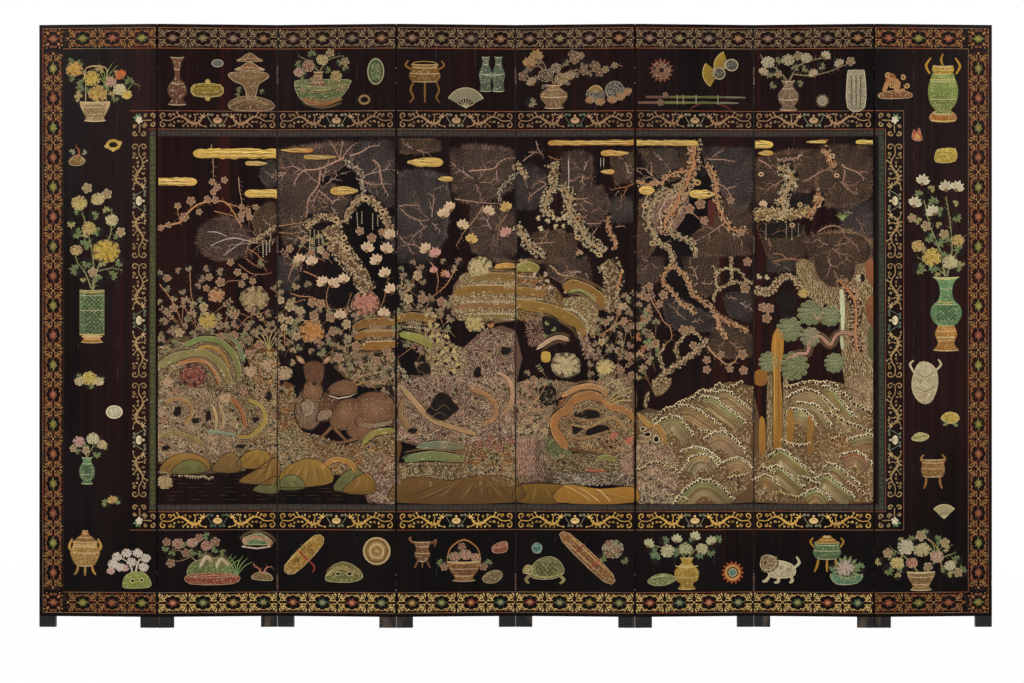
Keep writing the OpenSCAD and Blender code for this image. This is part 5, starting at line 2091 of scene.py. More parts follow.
FALLS = """
fur 0 grey 6 784,266 768,258 798,258 798,270 770,272
fur 1.2 warm 6 834,268 813,256 836,250 859,258 856,282 838,291 818,280
twig 1.1 #a8806a 1.0 832.5,264 830,272 827.7,278
twig 1.1 #a8806a 0.9 832.5,265 841.4,269
twig 1.1 #a06844 1.1 775.8,261 788.8,258.6 797.7,258.6
blades 0.3 foamy 1.5 0.3,5 797,262 806,258 818,264 828,262 840,272 847,282 846,302 838,311 828,301 820,308
 812,295 803,291
trunk 1 bark 8 757,290 771.7,291 776.6,284.6 783,278 791,275.6 797.7,280.5 802,289
hole 1.4 #0c0807 1 788,303 9,15
blossom 1.9 plum 4.8 764.5,307 768.5,318 771,308
leaves 1 #c8b48c 4 762,275 770,276
mum 1.2 #c8a04c 5.4 805,293
blades 0 foamy 1.8 1.4,6 843,264 850,257 858,266 866,258 874,262 874,410 852,404 846,383 841,330
pine 1 ember 8 840,280 849.5,289.4 854.4,297.5 858,310 856,330 860,352
plate 1 #8c5430 1.6 868,262 875,260 875,286 870,282 867,272
plate 1 #84502e 1.6 868,300 875,296 875,326 870,322 867,312
plate 1 #5c5a34 1 869,330 875,328 875,358 870,354
leaves 1.3 #c8b48c 6 862,278
line 1.1 #b4b48c 5 843,289 844,310 844,330
line 1.1 #b4b48c 4 843,336 844,349
pad 1.2 #6f7650 12 812,313 791,329
pad 1.2 #6f7650 10 831.7,316 771,362
pad 1.2 #7c7658 9.5 812,337
pad 1.2 #6c7048 14 795,366
pad 1.2 #6f7650 9.5 836,363
ribbon 0.9 #a87868 3.5 788,359 801,353.4 809,352.6 812.3,339.7 822,336.4 831.7,344.5 838,334.8 846,332.4
 856,334.8
ribbon 0.9 #a87868 3 805,310.5 812,311 819.6,319.4 824,313
blades 0.8 foamy 1.5 0.3,5 769,376 774,372 774,446 768,450
0.3,5 785,372 790,366 790,440 785,446
plate 1.4 #a8742f 1.6 774,338 777,330 780,328 785,335 785,352 782,372 784,400 783,446 775,446 775,380
 773,356
plate 1.4 #a0702f 1.6 761,422 764,416 767,424 767,452 761,452
plate 1.7 #9c702f 1.6 789,414 791,409 795,412 795,440 789,442
plate 1.7 #946833 1.6 809,420 812,416 816,422 814,436 816,452 809,452
line 2 #d0a050 0.8 777,334 776,380 777,440
line 2 #6a4420 0.7 781,340 780,390 781,442
plate 0.8 #8c5c26 1 757,371 768,370 768,384 757,384
plate 0 #5e442a 0.3 786,390 840,384 874,410 874,502 757,502 757,456 784,440
curls 0.2 foamy 3.1 786,388 840,382 874,408 874,502 757,502 757,456 784,440
curls 0.2 sandy 2.4 820,440 860,436 874,470 850,476 824,462
curls 0.3 curly 2.4 850,378 874,378 874,410 856,410
foam 2 #e8d2a0 3.5 788,388 796,385 802.5,383 814,382 821,383.7 830,382 842,390 852,400 864,408 874,412
wave 0.9 green 1.1 825,387 834,389 843,400.7 850,410 858,418
wave 1 tan 1.2 790,398 801,391 812,390 824,396 833,405.5 840,412
wave 1.1 olive 1.1 800,403 809,403 819,406.4 827,416 834,427
wave 1.2 green 1.1 793,409 802.5,409.6 812,415.3 820,426
curls 0.4 foamy 2.8 836,410 852,410 854,432 838,432
wave 1.2 olive 1.1 850,440 857,437 866,434.7 876,435
wave 1.3 red 1.1 842,456 850,453 858,451 867.4,456.6 874,466
wave 1.3 green 1.1 772,455 781,450 789,452.6 798,460 805,465.5 815,474
wave 1.4 green 1.1 770,468 780,466 788,471 797,479 806,487
wave 1.4 olive 1.1 826,467 833,464 841.4,467 849.5,474.4 862,485
wave 1.5 green 1.1 816,478 827,474.4 835,479 844,486.6 856,497
wave 1.5 olive 1 757,480 766,475 775,479 782,487
wave 1.6 green 1 804,496 811,491 818,489 825,491.5 832,500
foam 2 #e8d2a0 3.4 764,468 777,472
foam 2 #d8b878 3 776,492 801,498
foam 2 #ecd8a8 3.4 801,476 820,484
foam 2 #e0b890 3.4 850,482 874,498
foam 2 #ecd8a8 3.4 832,412 852,424 874,430
foam 2 #e4c894 3.2 640,470 654,462 668,466 682,474
foam 2 #e4c894 3 668,494 690,500
foam 2 #ecd8a8 3.2 700,430 716,432
foam 2 #e4c894 3.2 730,478 752,474
foam 2 #ecd8a8 3.2 784,440 800,446 812,444
foam 2 #e4c894 3 836,440 846,432
"""

# Each drawing of the picture
DRAWINGS = (CLOUDS, PLUM_BOUGH, ROCKERY, BENT_PINE, DEER_BANK, PINE_GROVE, CAVE_ROCKS, PINE_HOLLOW, C_ROCK,
            RED_PINE, PLUM_AND_WAVES, OLD_PINES, FALLS)


COAT = "#623f29"
HAIR = ("#54351f", "#7a5431", "#9a7048", "#3e291c")


def furry(pen, outline, hair, turn, light):
    """A rounded part of a body, lighter in its middle, with short hair all over."""
    edge = smooth(outline, 3, True)
    pen.stroke(edge + edge[:1], 1.2, BLACK, height=RELIEF * 0.4)
    pen.up(0.1).dome(edge, mix(COAT, BLACK, 0.25), mix(COAT, light, 0.35))
    for x, y in scatter(outline, 1.5):
        tint = mix(dice.choice(hair), light, dice.uniform(0, 0.45))
        tip = polar(x, y, 2.2, turn + dice.gauss(0, 14))
        pen.up(0.3).stroke([(x, y), tip], (0.6, 0.2), tint, height=RELIEF * 0.7)


def spots_on(pen, outline, step):
    """The pale spots of a coat."""
    for x, y in scatter(outline, step):
        pen.dot(x, y, dice.uniform(0.35, 0.65), "#bca684", None, 5)


def deer(pen):
    """Two spotted deer that rest on the bank, one looking out and one asleep."""
    tan, white = "#a8805a", "#cbb694"
    for points in (
        ((296, 398), (289, 412), (281, 430)),
        ((332, 426), (322, 436), (311, 442)),
        ((334, 427), (342, 436), (348, 441)),
        ((356, 438), (342, 442), (330, 441)),
    ):
        pen.stroke(smooth(points, 3), (3.4, 1.8), mix(COAT, tan, 0.3), COAT)
    rump = [(354, 402), (366, 392), (384, 392), (395, 402), (395, 420), (378, 427), (358, 424)]
    loin = [(330, 412), (340, 400), (356, 398), (362, 410), (358, 426), (342, 430), (330, 424)]
    knee = [(346, 432), (352, 420), (366, 416), (377, 424), (375, 437), (360, 441)]
    back = [(312, 402), (322, 392), (338, 396), (340, 408), (330, 420), (314, 420)]
    chest = [(294, 412), (297, 396), (306, 386), (318, 388), (324, 400), (322, 418), (312, 429), (299, 426)]
    furry(pen, rump, HAIR, 20, tan)
    furry(pen, loin, HAIR, 40, tan)
    furry(pen, knee, HAIR, 60, tan)
    furry(pen, back, HAIR[:1] + HAIR[3:], 10, COAT)
    furry(pen, chest, HAIR, 80, white)
    high = pen.up(0.5)
    white_breast = [(300, 404), (306, 398), (314, 402), (313, 413), (304, 416)]
    white_side = [(317, 413), (326, 407), (333, 411), (327, 419), (317, 420)]
    white_belly = [(356, 421), (372, 424), (392, 419), (391, 424), (372, 428), (358, 425)]
    for outline, turn in ((white_breast, 80), (white_side, 60), (white_belly, 0)):
        furry(high, outline, (white, tan), turn, white)
    spots_on(high.up(0.3), [(316, 396), (334, 394), (338, 404), (320, 406)], 4)
    spots_on(high.up(0.3), [(340, 402), (358, 402), (356, 420), (338, 418)], 5)
    spots_on(high.up(0.3), [(362, 396), (392, 398), (390, 414), (364, 414)], 5)
    head = [(327, 389), (333, 383), (345, 379), (357, 382), (356, 392), (342, 396), (328, 393)]
    furry(high, head, HAIR, 10, tan)
    high.up(0.6).stroke([(339, 387), (342, 386.4), (345, 387)], (0.4, 0.9, 0.4), BLACK)
    high.up(0.6).dome(ring(328.6, 391, 1.8, 1.5, 7), BLACK, "#3c2a20")
    high.up(0.6).dome(petal(352, 383, 9, 4.5, -52), "#5c3a24", "#9c7450")
    high.up(0.6).stroke([(329, 395), (338, 398), (350, 396), (358, 392)], (0.6, 1.2, 0.4), white)
    neck = [(302, 396), (304, 384), (310, 378), (319, 380), (323, 392), (318, 400), (308, 402)]
    face = [(303, 366), (308, 361), (318, 361), (324, 366), (323, 378), (318, 386), (310, 386), (305, 378)]
    furry(high, neck, HAIR, 90, tan)
    furry(high.up(0.2), face, HAIR, 90, COAT)
    for x, turn in ((305, 222), (322, -42)):
        high.up(0.6).dome(petal(x, 364, 13.5, 6, turn), "#6a4228", "#c09c78")
    for x in (308.5, 318.5):
        high.up(1.0).dot(x, 371, 1.1, BLACK)
        high.up(1.1).dot(x - 0.3, 370.6, 0.35, white)
    high.up(0.9).dome(ring(314, 383.4, 2.6, 1.7, 8), BLACK, "#3c2a20")
    twig(high.up(0.5), ((354, 382), (360, 376), (369, 374), (384, 371)), 1.1, "#b08a60", 5, 6)
    twig(high.up(0.5), ((356, 385), (368, 381), (386, 384)), 1.1, "#a8804f", 5, 6)


def paint_picture():
    """The garden, the pines, the deer and the sea, over leaves 2 to 7."""
    picture = Relief("picture", frame=PICTURE_FRAME)
    pen = Pen(picture)
    for drawing in DRAWINGS:
        draw(pen, drawing)
    deer(pen.up(0.9))
    picture.build(PAINT)


# ---------------------------------------------------------------- vases, flowers and antiques in the field


def chase(pen, outline, tint, step=2.1):
    """Small raised and sunk scrolls all over an outline."""
    for x, y in scatter(outline, step):
        shade = mix(tint, dice.choice((BLACK, BLACK, CREAM)), dice.uniform(0.5, 0.8))
        r, start = step * dice.uniform(0.3, 0.48), dice.uniform(0, 360)
        line = spiral(x, y, r, start, 0.8, dice.choice((-1, 1)), 4)
        pen.stroke(line, (0.55, 0.35), shade, height=RELIEF * 0.7)


def shape_vessel(pen, points, tint, size):
    """A turned vessel, chased all over: its middle, and then its half width at heights down from the lip."""
    cx, side = points[0][0], smooth(points[1:], 3)
    outline = [(cx + w, y) for w, y in side] + [(cx - w, y) for w, y in side[::-1]]
    pen.stroke(outline + outline[:1], 1.6, BLACK, height=RELIEF * 0.4)
    pen.up(0.2).plate(outline, tint, mix(tint, BLACK, 0.35))
    chase(pen.up(0.6), [(x * 0.9 + cx * 0.1, y) for x, y in outline], tint)
    for k in (0, -1, len(side) // 2, len(side) // 4):
        w, y = side[k]
        bright = arc(cx, y - 0.5, w * 0.98, 1, 10, 170, 6)
        pen.up(0.9).stroke(bright, (0.6, 1.0, 0.6), mix(tint, CREAM, 0.45))


def shape_lattice(pen, points, tint, size):
    """Slanting bars both ways between two corners."""
    (left, top), (right, bottom) = points
    for way in (-1, 1):
        x = left - (bottom - top)
        while x < right + (bottom - top):
            run = [(x + way * (y - top), y) for y in (top + (bottom - top) * k / 8 for k in range(9))]
            run = [p for p in run if left <= p[0] <= right]
            if len(run) > 1:
                pen.stroke(run, 0.7, tint, height=RELIEF * 0.7)
            x += size


def shape_hoop(pen, points, tint, size):
    """Rings: each is a middle and then its two radii."""
    for (x, y), (rx, ry) in zip(points[::2], points[1::2]):
        loop = ring(x, y, rx, ry, 18)
        pen.stroke(loop + loop[:2], size, tint, mix(tint, BLACK, 0.2))


def shape_disc(pen, points, tint, size):
    """Round or oval panels with a pale rim, and chased within a dark line."""
    for (x, y), (rx, ry) in zip(points[::2], points[1::2]):
        pen.plate(ring(x, y, rx, ry, 20), tint, mix(tint, BLACK, 0.25))
        rim, line = ring(x, y, rx * 0.94, ry * 0.94, 20), ring(x, y, rx * 0.74, ry * 0.74, 20)
        pen.up(0.5).stroke(rim + rim[:1], size, mix(tint, CREAM, 0.4))
        pen.up(0.5).stroke(line + line[:1], 0.5, mix(tint, BLACK, 0.7), height=RELIEF * 0.7)
        if rx > 4:
            chase(pen.up(0.4), ring(x, y, rx * 0.66, ry * 0.66, 12), tint, 2.2)


def shape_slab(pen, points, tint, size):
    """A flat thing of any outline, with a pale edge, and chased all over."""
    edge = smooth(points, 3, True)
    pen.plate(edge, tint, mix(tint, BLACK, 0.25 * size))
    pen.up(0.5).stroke(edge + edge[:1], (0.5, 0.7), mix(tint, CREAM, 0.4))
    chase(pen.up(0.4), edge, tint, 2.0)


def shape_scroll(pen, points, tint, size):
    """Curled scrolls at each point, turned every way."""
    for x, y in points:
        line = spiral(x, y, size, dice.uniform(0, 360), 1.3, dice.choice((-1, 1)), 9)
        pen.stroke(line, (size * 0.3, size * 0.5, size * 0.25), tint)


def shape_fan(pen, points, tint, size):
    """An open fan: its rivet, the middle of its rim, and a half angle as its size."""
    (x, y), tip = points
    r = math.dist((x, y), tip)
    turn = math.degrees(math.atan2(tip[1] - y, tip[0] - x))
    rim = [polar(x, y, r, turn + size * (k / 6 - 1)) for k in range(13)]
    inner = [polar(x, y, r * 0.45, turn + size * (1 - k / 6)) for k in range(13)]
    pen.plate(rim + inner, tint, mix(tint, BLACK, 0.2))
    for k in range(13):
        pen.up(0.5).stroke([inner[12 - k], rim[k]], 0.5, mix(tint, BLACK, 0.55), height=RELIEF * 0.7)
    for k in range(0, 13, 2):
        pen.stroke([(x, y), inner[12 - k]], 0.8, mix(tint, CREAM, 0.3))
    pen.up(0.5).stroke(rim, 0.8, mix(tint, CREAM, 0.4))


def shape_spikes(pen, points, tint, size):
    """Pointed rays about each middle."""
    for x, y in points:
        for k in range(15):
            pen.dome(petal(*polar(x, y, size * 0.35, 24 * k), size * 0.65, size * 0.24, 24 * k), tint)


ANTIQUES_LEFT = """
line 0.1 #c2a070 1.6 86.5,103 86.5,84 86,70 92,66.6 97,66.3 102,66.6 108,70 107.5,84 107.5,103
line 0.1 #8a6a3c 1 89,84 89,72 97,70 105,72 105,84
vessel 0.3 #c2a070 1 96,0 15.5,102 14.5,107 11,114 9,118 11,121
lattice 1.1 #6a4c2c 3 85,105 107,117
grass 0.1 #8a9a4c 24 107,86
twig 0.3 #8a8a4c 1 128,92 135,84 142,87
leaves 0.4 #5c6c3c 6 84,84 70,78 80,90 117,97 106,90 90,88 131,84 69,62 82,62
leaves 0.4 #b0945c 5 82,93 76,99 88,72 100,72 116,74 112,96
mum 0.9 #cf9a3c 8.5 75.3,69.4
mum 0.9 #c9a63c 8.5 93,79
mum 1 #c99a48 9.5 99,94
mum 0.9 #b98a70 6 112,82
mum 0.9 #d8c490 6.5 121,90
mum 1 #cfae3c 5.5 128,95
magnolia 0.9 #c8642c 7 124,78
hoop 0.2 #c8a048 3 114.5,145 6,4.2
scroll 0.6 #d8b868 2.4 108,146 121,143 114,150
slab 0.2 #8c6a3c 1 70,160 78,155 86,160 82,165 72,165
twig 0.6 #c87048 1.4 78,158 80,152 77,147
leaves 0.4 #8a9a6c 4 84,152 72,153
vessel 0.3 #6d8455 1 93,0 12.6,290 12.6,310 12.6,334
lattice 1.1 #26331f 4.4 82,293 104,333
line 1.2 #c8a048 1.6 80.4,291 93,292.5 105.6,291
80.4,334 93,335.5 105.6,334
vessel 0.3 #b87c30 1 93,0 11,336 8.5,338.5 11.5,342
twig 0.2 #8a8a58 1.8 93,290 95,270 92,246 86,222 80,202
94,290 98,270 106,252 112,232 113,208
twig 0.2 #8a8a58 1.4 92,288 86,272 78,262 74,246
twig 0.2 #8a8a58 1.2 96,272 112,268 124,270
leaves 0.5 #6a7c48 7 80,212 94,216 76,232 100,232 84,246 118,222 120,238 78,270 88,262 122,262 112,276
 100,280
leaves 0.5 #a89a5c 5 84,200 108,212 88,234 96,250 118,252 104,266 84,278 72,222
mum 0.9 #cfa93e 14 107,251
mum 0.9 #cdb262 8 80,203
mum 0.9 #c8b070 7 99,199
mum 0.9 #c0a24e 7.5 90,228
mum 0.9 #d2be80 6.5 113,220
mum 0.9 #c49a5a 6 77,250
blossom 1 pale 5 88,188 108,194 122,232 94,272
leaves 0.3 #6a7c48 6 78,377 102,377 90,385
mum 0.8 #d2b450 8 90,378
mum 0.8 #cbb07c 5 80,381 100,381
disc 0.2 #d8cba4 1 115.5,411.5 8.5,6.5
vessel 0.3 #6f8c60 1 88,0 5.5,457 4,461 7.5,468 7,476 4,480 6,483
lattice 1.1 #2c3a28 3 83,464 93,477
twig 0.2 #8a8a58 1.2 88,457 84,448 78,442
88,457 94,446 102,440
leaves 0.5 #6a7c48 5 80,452 98,452 88,444 104,448
mum 0.9 #c8908c 6 80,441
mum 0.9 #d8c898 6.5 94,438
mum 0.9 #cfae78 5 103,444
blossom 1 pale 4 74,448 87,450
leaves 0.4 #7f9058 6 108,503 120,499
magnolia 0.8 #c8a860 6 114,502
vessel 0.4 #b98c48 1 86,0 13,541 12,544 15,552 11,562 8,565
line 0.2 #b98c48 3 74,552 70,546 73,538
98,552 102,546 99,538
line 0.2 #a87c40 2.6 79,563 78,570 75,574
93,563 94,570 97,574
86,564 86,570 86,575
vessel 0.4 #a87438 1 86,0 2.6,530 4,534 9,538 12,541
beads 1.2 #e0c890 0.8 75,546 97,546
slab 0.3 #9aa24c 1 124,584 126,576 134,571 146,572 152,580 150,586 128,587
hole 1 #c8c480 1 134,580 2,1.6 143,579 1.6,1.4
twig 0.3 #d8c8a8 1.8 134,572 130,562 120,556
137,571 140,560 148,556
mum 0.7 #e2d0c0 5 118,556 128,552 139,552 147,557 121,566 133,561 145,566 114,563
mum 0.8 #d8a8a0 4 112,570 126,567
"""

ANTIQUES_RIGHT = """
slab 0.1 #8a5a34 1 880,94 896,91 910,93 910,98 882,99
line 0.5 #a8784c 6 884,92 890,80 898,84 896,92 905,90
scroll 0.9 #c8a064 3 888,76 903,78 907,86 892,86
spikes 0.8 #a8683c 6 891,79
vessel 0.3 #8c9a4c 1 943,0 9,70 12,78 15,90 13,103 8,110 10,114
vessel 0.8 #c89c30 1 943,0 10,66 11,70 9,74
line 0.2 #b8862c 2.6 930,74 926,66 931,58
956,74 960,66 955,58
line 0.4 #b8862c 2.4 943,66 941,60 943,54
beads 1.2 #d8c070 0.9 931,80 955,80
lattice 1.1 #5c6c34 3.6 934,96 952,104
slab 0.2 #b87430 1 934,112 952,112 955,121 931,121
line 1 #d8b860 1.4 931,120 943,121.5 955,120
slab 0.3 #b8502c 1 912,138 914,130 917,133 919,128 921,135 922,140 917,141
slab 0.7 #d8a048 1 915,138 917,134 920,139
slab 0.3 #cfb048 1 936,152 940,149 955,149 955,161 936,162
line 0.9 #8a6c28 0.8 936,153 951,153 951,161
951,153 955,149
vessel 0.4 #6f9460 1 946,0 13,277 8,282 6,292 8,300 14,306 15.5,314 12,322 8,325
vessel 0.2 #b98038 1 946,0 8,325 11,334 8,343 13,350
lattice 1.2 #2e4630 4 936,305 957,320
line 1.2 #d8c070 1.4 933,277 946,279 959,277
line 1.2 #c8a048 1.4 938,301 946,302.5 954,301
beads 1.2 #e0cf90 0.9 938,337 955,337
twig 0.2 #8a8a58 1.8 945,276 940,250 930,226 924,200
947,276 952,250 950,222 946,196
twig 0.2 #8a8a58 1.3 944,274 930,262 918,258
twig 0.2 #8a8a58 1.2 949,262 960,248 964,236
leaves 0.5 #6a7c48 7 920,196 934,204 942,212 928,236 938,240 956,216 960,250 934,266 956,268 918,268
 950,236 944,258
leaves 0.5 #a89a5c 5 930,190 940,226 920,222 954,204 962,262 926,250 938,276
magnolia 0.9 #d8cfa8 8 922,184 946,190 914,206 956,190 934,214
mum 0.9 #d2ae48 10 932,257
mum 0.9 #cfc088 8 950,262
mum 0.9 #c8a050 6.5 918,246 958,240
blossom 1 pale 5 944,234 926,226 912,218
slab 0.3 #d0bc94 1 914,372 920,362 930,363 937,372 937,388 930,402 919,401 912,388
line 0.9 #7c6848 1 917,372 925,377 933,372
916,386 925,391 935,386
scroll 1 #a89468 3 920,380 930,380 925,396
line 0.2 #c8b48c 2.4 914,372 910,364 914,360
936,370 941,364 938,359
slab 0.3 #c8a84c 1 941,418 947,412 956,413 959,419 950,423
leaves 0.5 #7f9058 5 944,422 957,423
slab 0.3 #bcb070 1 912,437 919,432 929,435 924,440 914,440
line 0.8 #6a6438 0.8 913,438 921,436 928,435
vessel 0.3 #9c7038 1 933,0 11.5,459 11,464 12,470 10,476
line 0.1 #9c7038 2.4 923,463 921,458 924,454
943,463 945,458 942,454
line 0.1 #8c6230 2.8 926,475 926,482 924,488
940,475 940,482 942,488
fan 0.2 #c8b888 48 944,518 944,504
line 0.2 #b8905c 1.8 900,572 904,548 921,536 938,548 942,572
vessel 0.3 #b08a58 1 921,0 14,571 13,576 9,583 8,586 11,589
lattice 1.1 #5c4224 3 911,573 931,583
line 1.1 #e0c890 1.4 907,571 921,572.5 935,571
twig 0.2 #8a8a58 1.4 918,571 905,556 892,548
924,571 940,558 956,552
grass 0.2 #8a9a5c 24 936,560
leaves 0.5 #6a7c48 6.5 893,556 903,568 946,570 958,560 912,540 936,540 926,534 962,572 888,568
leaves 0.5 #a89a5c 5 900,540 944,548 952,574 898,576 880,560
mum 0.9 #d8cca4 8.5 906,546
mum 0.9 #c8b47c 8 922,549
mum 0.9 #c89c80 7 937,556
mum 0.9 #d2b868 7 897,562
mum 0.9 #c07860 6 912,562
mum 0.9 #d0c498 6 950,565
blossom 1 pale 5 888,552 928,566 958,572 921,535 945,542
"""
# The rest of the field, from leaf 2 to leaf 7: the objects over the picture, then the ones below it
ANTIQUES_ABOVE = """
vessel 0.3 #8c5840 1 177.4,0 7,58 4.5,62 2.8,70 2.8,79 7,84 9.6,91 7,97 5,99 9,105
slab 0.3 #c0a03c 1 194,85 220,85 220,96 194,96
line 0.9 #6a3c34 0.9 196,87 218,87 218,94 196,94 196,87
beads 0.9 #6a3c34 0.8 199,90.5 216,90.5
dot 0.5 #c0a03c 2.8 207.5,82 207.5,98.6
disc 0.2 #8a8a84 1 217.2,63.5 5.8,3.7
slab 0.5 #9c6a44 1 237,61 241,58 249,53 257,58 261,61
slab 0.5 #a8744c 1 235,70 240,67 249,62 258,67 263,70
line 1 #d8b080 1 236,60.5 249,58.5 262,60.5
234,69.5 249,67.5 264,69.5
line 0.3 #a03c28 1.4 240,70 240,76
246,70 246,76
252,70 252,76
258,70 258,76
slab 0.4 #a07850 1 228,74 238,72 262,72 268,77 258,84 254,98 247,98 243,86 232,80
ribbon 0.8 #8c6a44 4 232,77 246,80 264,77
slab 0.2 #8a6440 1 228,104 236,98 248,96 262,98 273,104 268,110 234,110
ribbon 0.8 #a07c54 3.6 231,105 248,100 270,105
leaves 0.8 #7c7c48 4 236,96 262,92 240,90
slab 0.2 #6f8448 1 294,84 300,80 346,80 350,84 340,98 326,104 308,104 298,96
ribbon 0.8 #87985c 4.5 296,85 322,89 349,85
ribbon 0.8 #a8703c 4 302,99 322,104 342,99
vessel 0.5 #a87850 1 318,0 5,72 4,78 7,84 5,90
twig 0.3 #8a8a58 1.6 318,72 310,62 298,56
319,72 328,60 344,56
leaves 0.6 #6a7c48 5.5 300,64 312,56 326,70 338,64 346,70 304,76
mum 0.9 #b8785c 6.5 308,66
mum 0.9 #d0b470 6 322,60
mum 0.9 #c49a58 6 336,76
mum 0.9 #c88c78 5 298,72
blossom 1 pale 4 330,53 345,62 314,80 342,88 302,90
disc 0.2 #5f6c44 1.2 376,72 8.5,13.5
lattice 0.8 #98a468 4 371,64 381,80
hoop 0.2 #b08a58 2.2 364.5,100 5,4
vessel 0.4 #a8742c 1 424.5,0 14,65 13,70 16,76 13,82
line 0.1 #a8742c 2.4 411,70 405,66 408,61
438,70 444,66 441,61
line 0.1 #98682c 2.4 414,81 410,90 413,98 409,103
435,81 439,90 436,98 440,103
424.5,82 424.5,92 424.5,103
hoop 1 #c89a48 1 424.5,64 12,2
fan 0.2 #b8ad84 62 466,108 466,88
vessel 0.3 #76846a 1 486,0 4,57 3,64 6.5,74 5,84 6,91
499,0 4,57 3,64 6.5,74 5,84 6,91
line 1 #b8c0a0 1.2 481,74 492,76 504,74
vessel 0.3 #b0855a 1 555,0 8,85 6,88 13,93 13,99 8,105 10,108
twig 0.2 #a07c5c 2 555,84 548,72 536,66 522,80
556,84 562,68 576,58 580,54
twig 0.2 #a07c5c 1.3 560,76 578,70 600,72 616,66 624,67
twig 0.2 #a07c5c 1.4 550,74 544,62 540,58
leaves 0.6 #8a7058 5 530,72 540,60 566,62 586,64 598,66 608,70 570,82 538,80 576,76 590,76 546,88
magnolia 0.9 #c49c68 8 530,66 537,59
magnolia 0.9 #bfa684 6.5 534,84 572,79
mum 0.8 #80624c 8 547,75
mum 0.9 #b8905e 7 563,79
mum 0.8 #8c6c54 5.5 557,68
blossom 1 plum 4.6 576,60 585,71 601,73 596,66 574,55 524,76
blossom 1 pale 3.4 616,66 607,70 582,56
mum 0.5 #7c7466 9 597,95
fan 0.9 #c8a04c 70 597,93 597,86
mum 0.5 #7f786c 9.5 616,91
hoop 1.2 #b0a890 1.4 616,91 9,9
magnolia 0.8 #bf9468 6 592,103 602,105 613,103 623,100 630,95
leaves 0.5 #a08c68 6 531,102
spikes 0.4 #a05c3c 12.5 662,71
mum 0.9 #a0684a 9.5 662,71
hole 1.9 #5c3424 1 662,71 1.8,1.8
fan 0.3 #d0a63c 50 730,66 716,61
719,73 704,76
disc 0.8 #6c6a5c 1.2 733,65 6.5,6
720.5,73.5 6,6
line 1.6 #9a9684 0.7 729,62 734,66 738,62
717,71 721,75 725,71
line 0.3 #8a5e4c 3 646,97.6 672,97.4
line 0.3 #8c8a50 3 670,97.4 706,97.2
line 0.3 #66703a 3 704,97.2 726,97.2
line 0.3 #8a866c 2.4 724,97.2 747,97.4
line 0.3 #8a5e4c 3 638.5,103.2 664,103
line 0.3 #8c8a50 3 662,103 698,102.8
line 0.3 #66703a 3 696,102.8 718,102.8
line 0.3 #8a866c 2.4 716,102.8 740,103
line 0.8 #c8b894 0.9 678,95 678,105
684,95 684,105
697,95 697,105
719,95 719,105
blossom 1 plum 3 666,95.5 661,103
line 0.2 #8a3a2c 1 702,104 694,107 690,111
719,104 728,107 734,111
vessel 0.3 #a88468 1 790,0 7,81 4.5,86 10,94 9,102 6,106 9,110
twig 0.2 #a08c68 1.8 789,81 780,70 768,62 762,54
791,81 800,66 816,60 830,58
twig 0.2 #a08c68 1.3 794,74 812,76 830,72 850,64
leaves 0.6 #8a8a5c 5.5 772,72 782,58 796,70 808,68 822,66 838,66 800,84 776,84
mum 0.9 #d8cca0 6.5 770,62
mum 0.9 #cdbb88 6.5 790,60
mum 0.9 #d2c290 5.5 808,58
magnolia 0.9 #d8c8a0 6 764,74 826,58 842,66 816,76
blossom 1 pale 4.2 780,74 800,56 852,62
spikes 0.2 #a89470 7 824,101
disc 0.6 #c8b898 1 824,101 4,4
slab 0.2 #cdbf9c 1 849,74 852,71 862,71 866,74 866,108 849,108
beads 0.8 #7c6c50 1.1 853,77 853,106
857.5,77 857.5,106
862,77 862,106
line 0.8 #8a7a58 0.8 849,108 857,108.6 866,108
"""

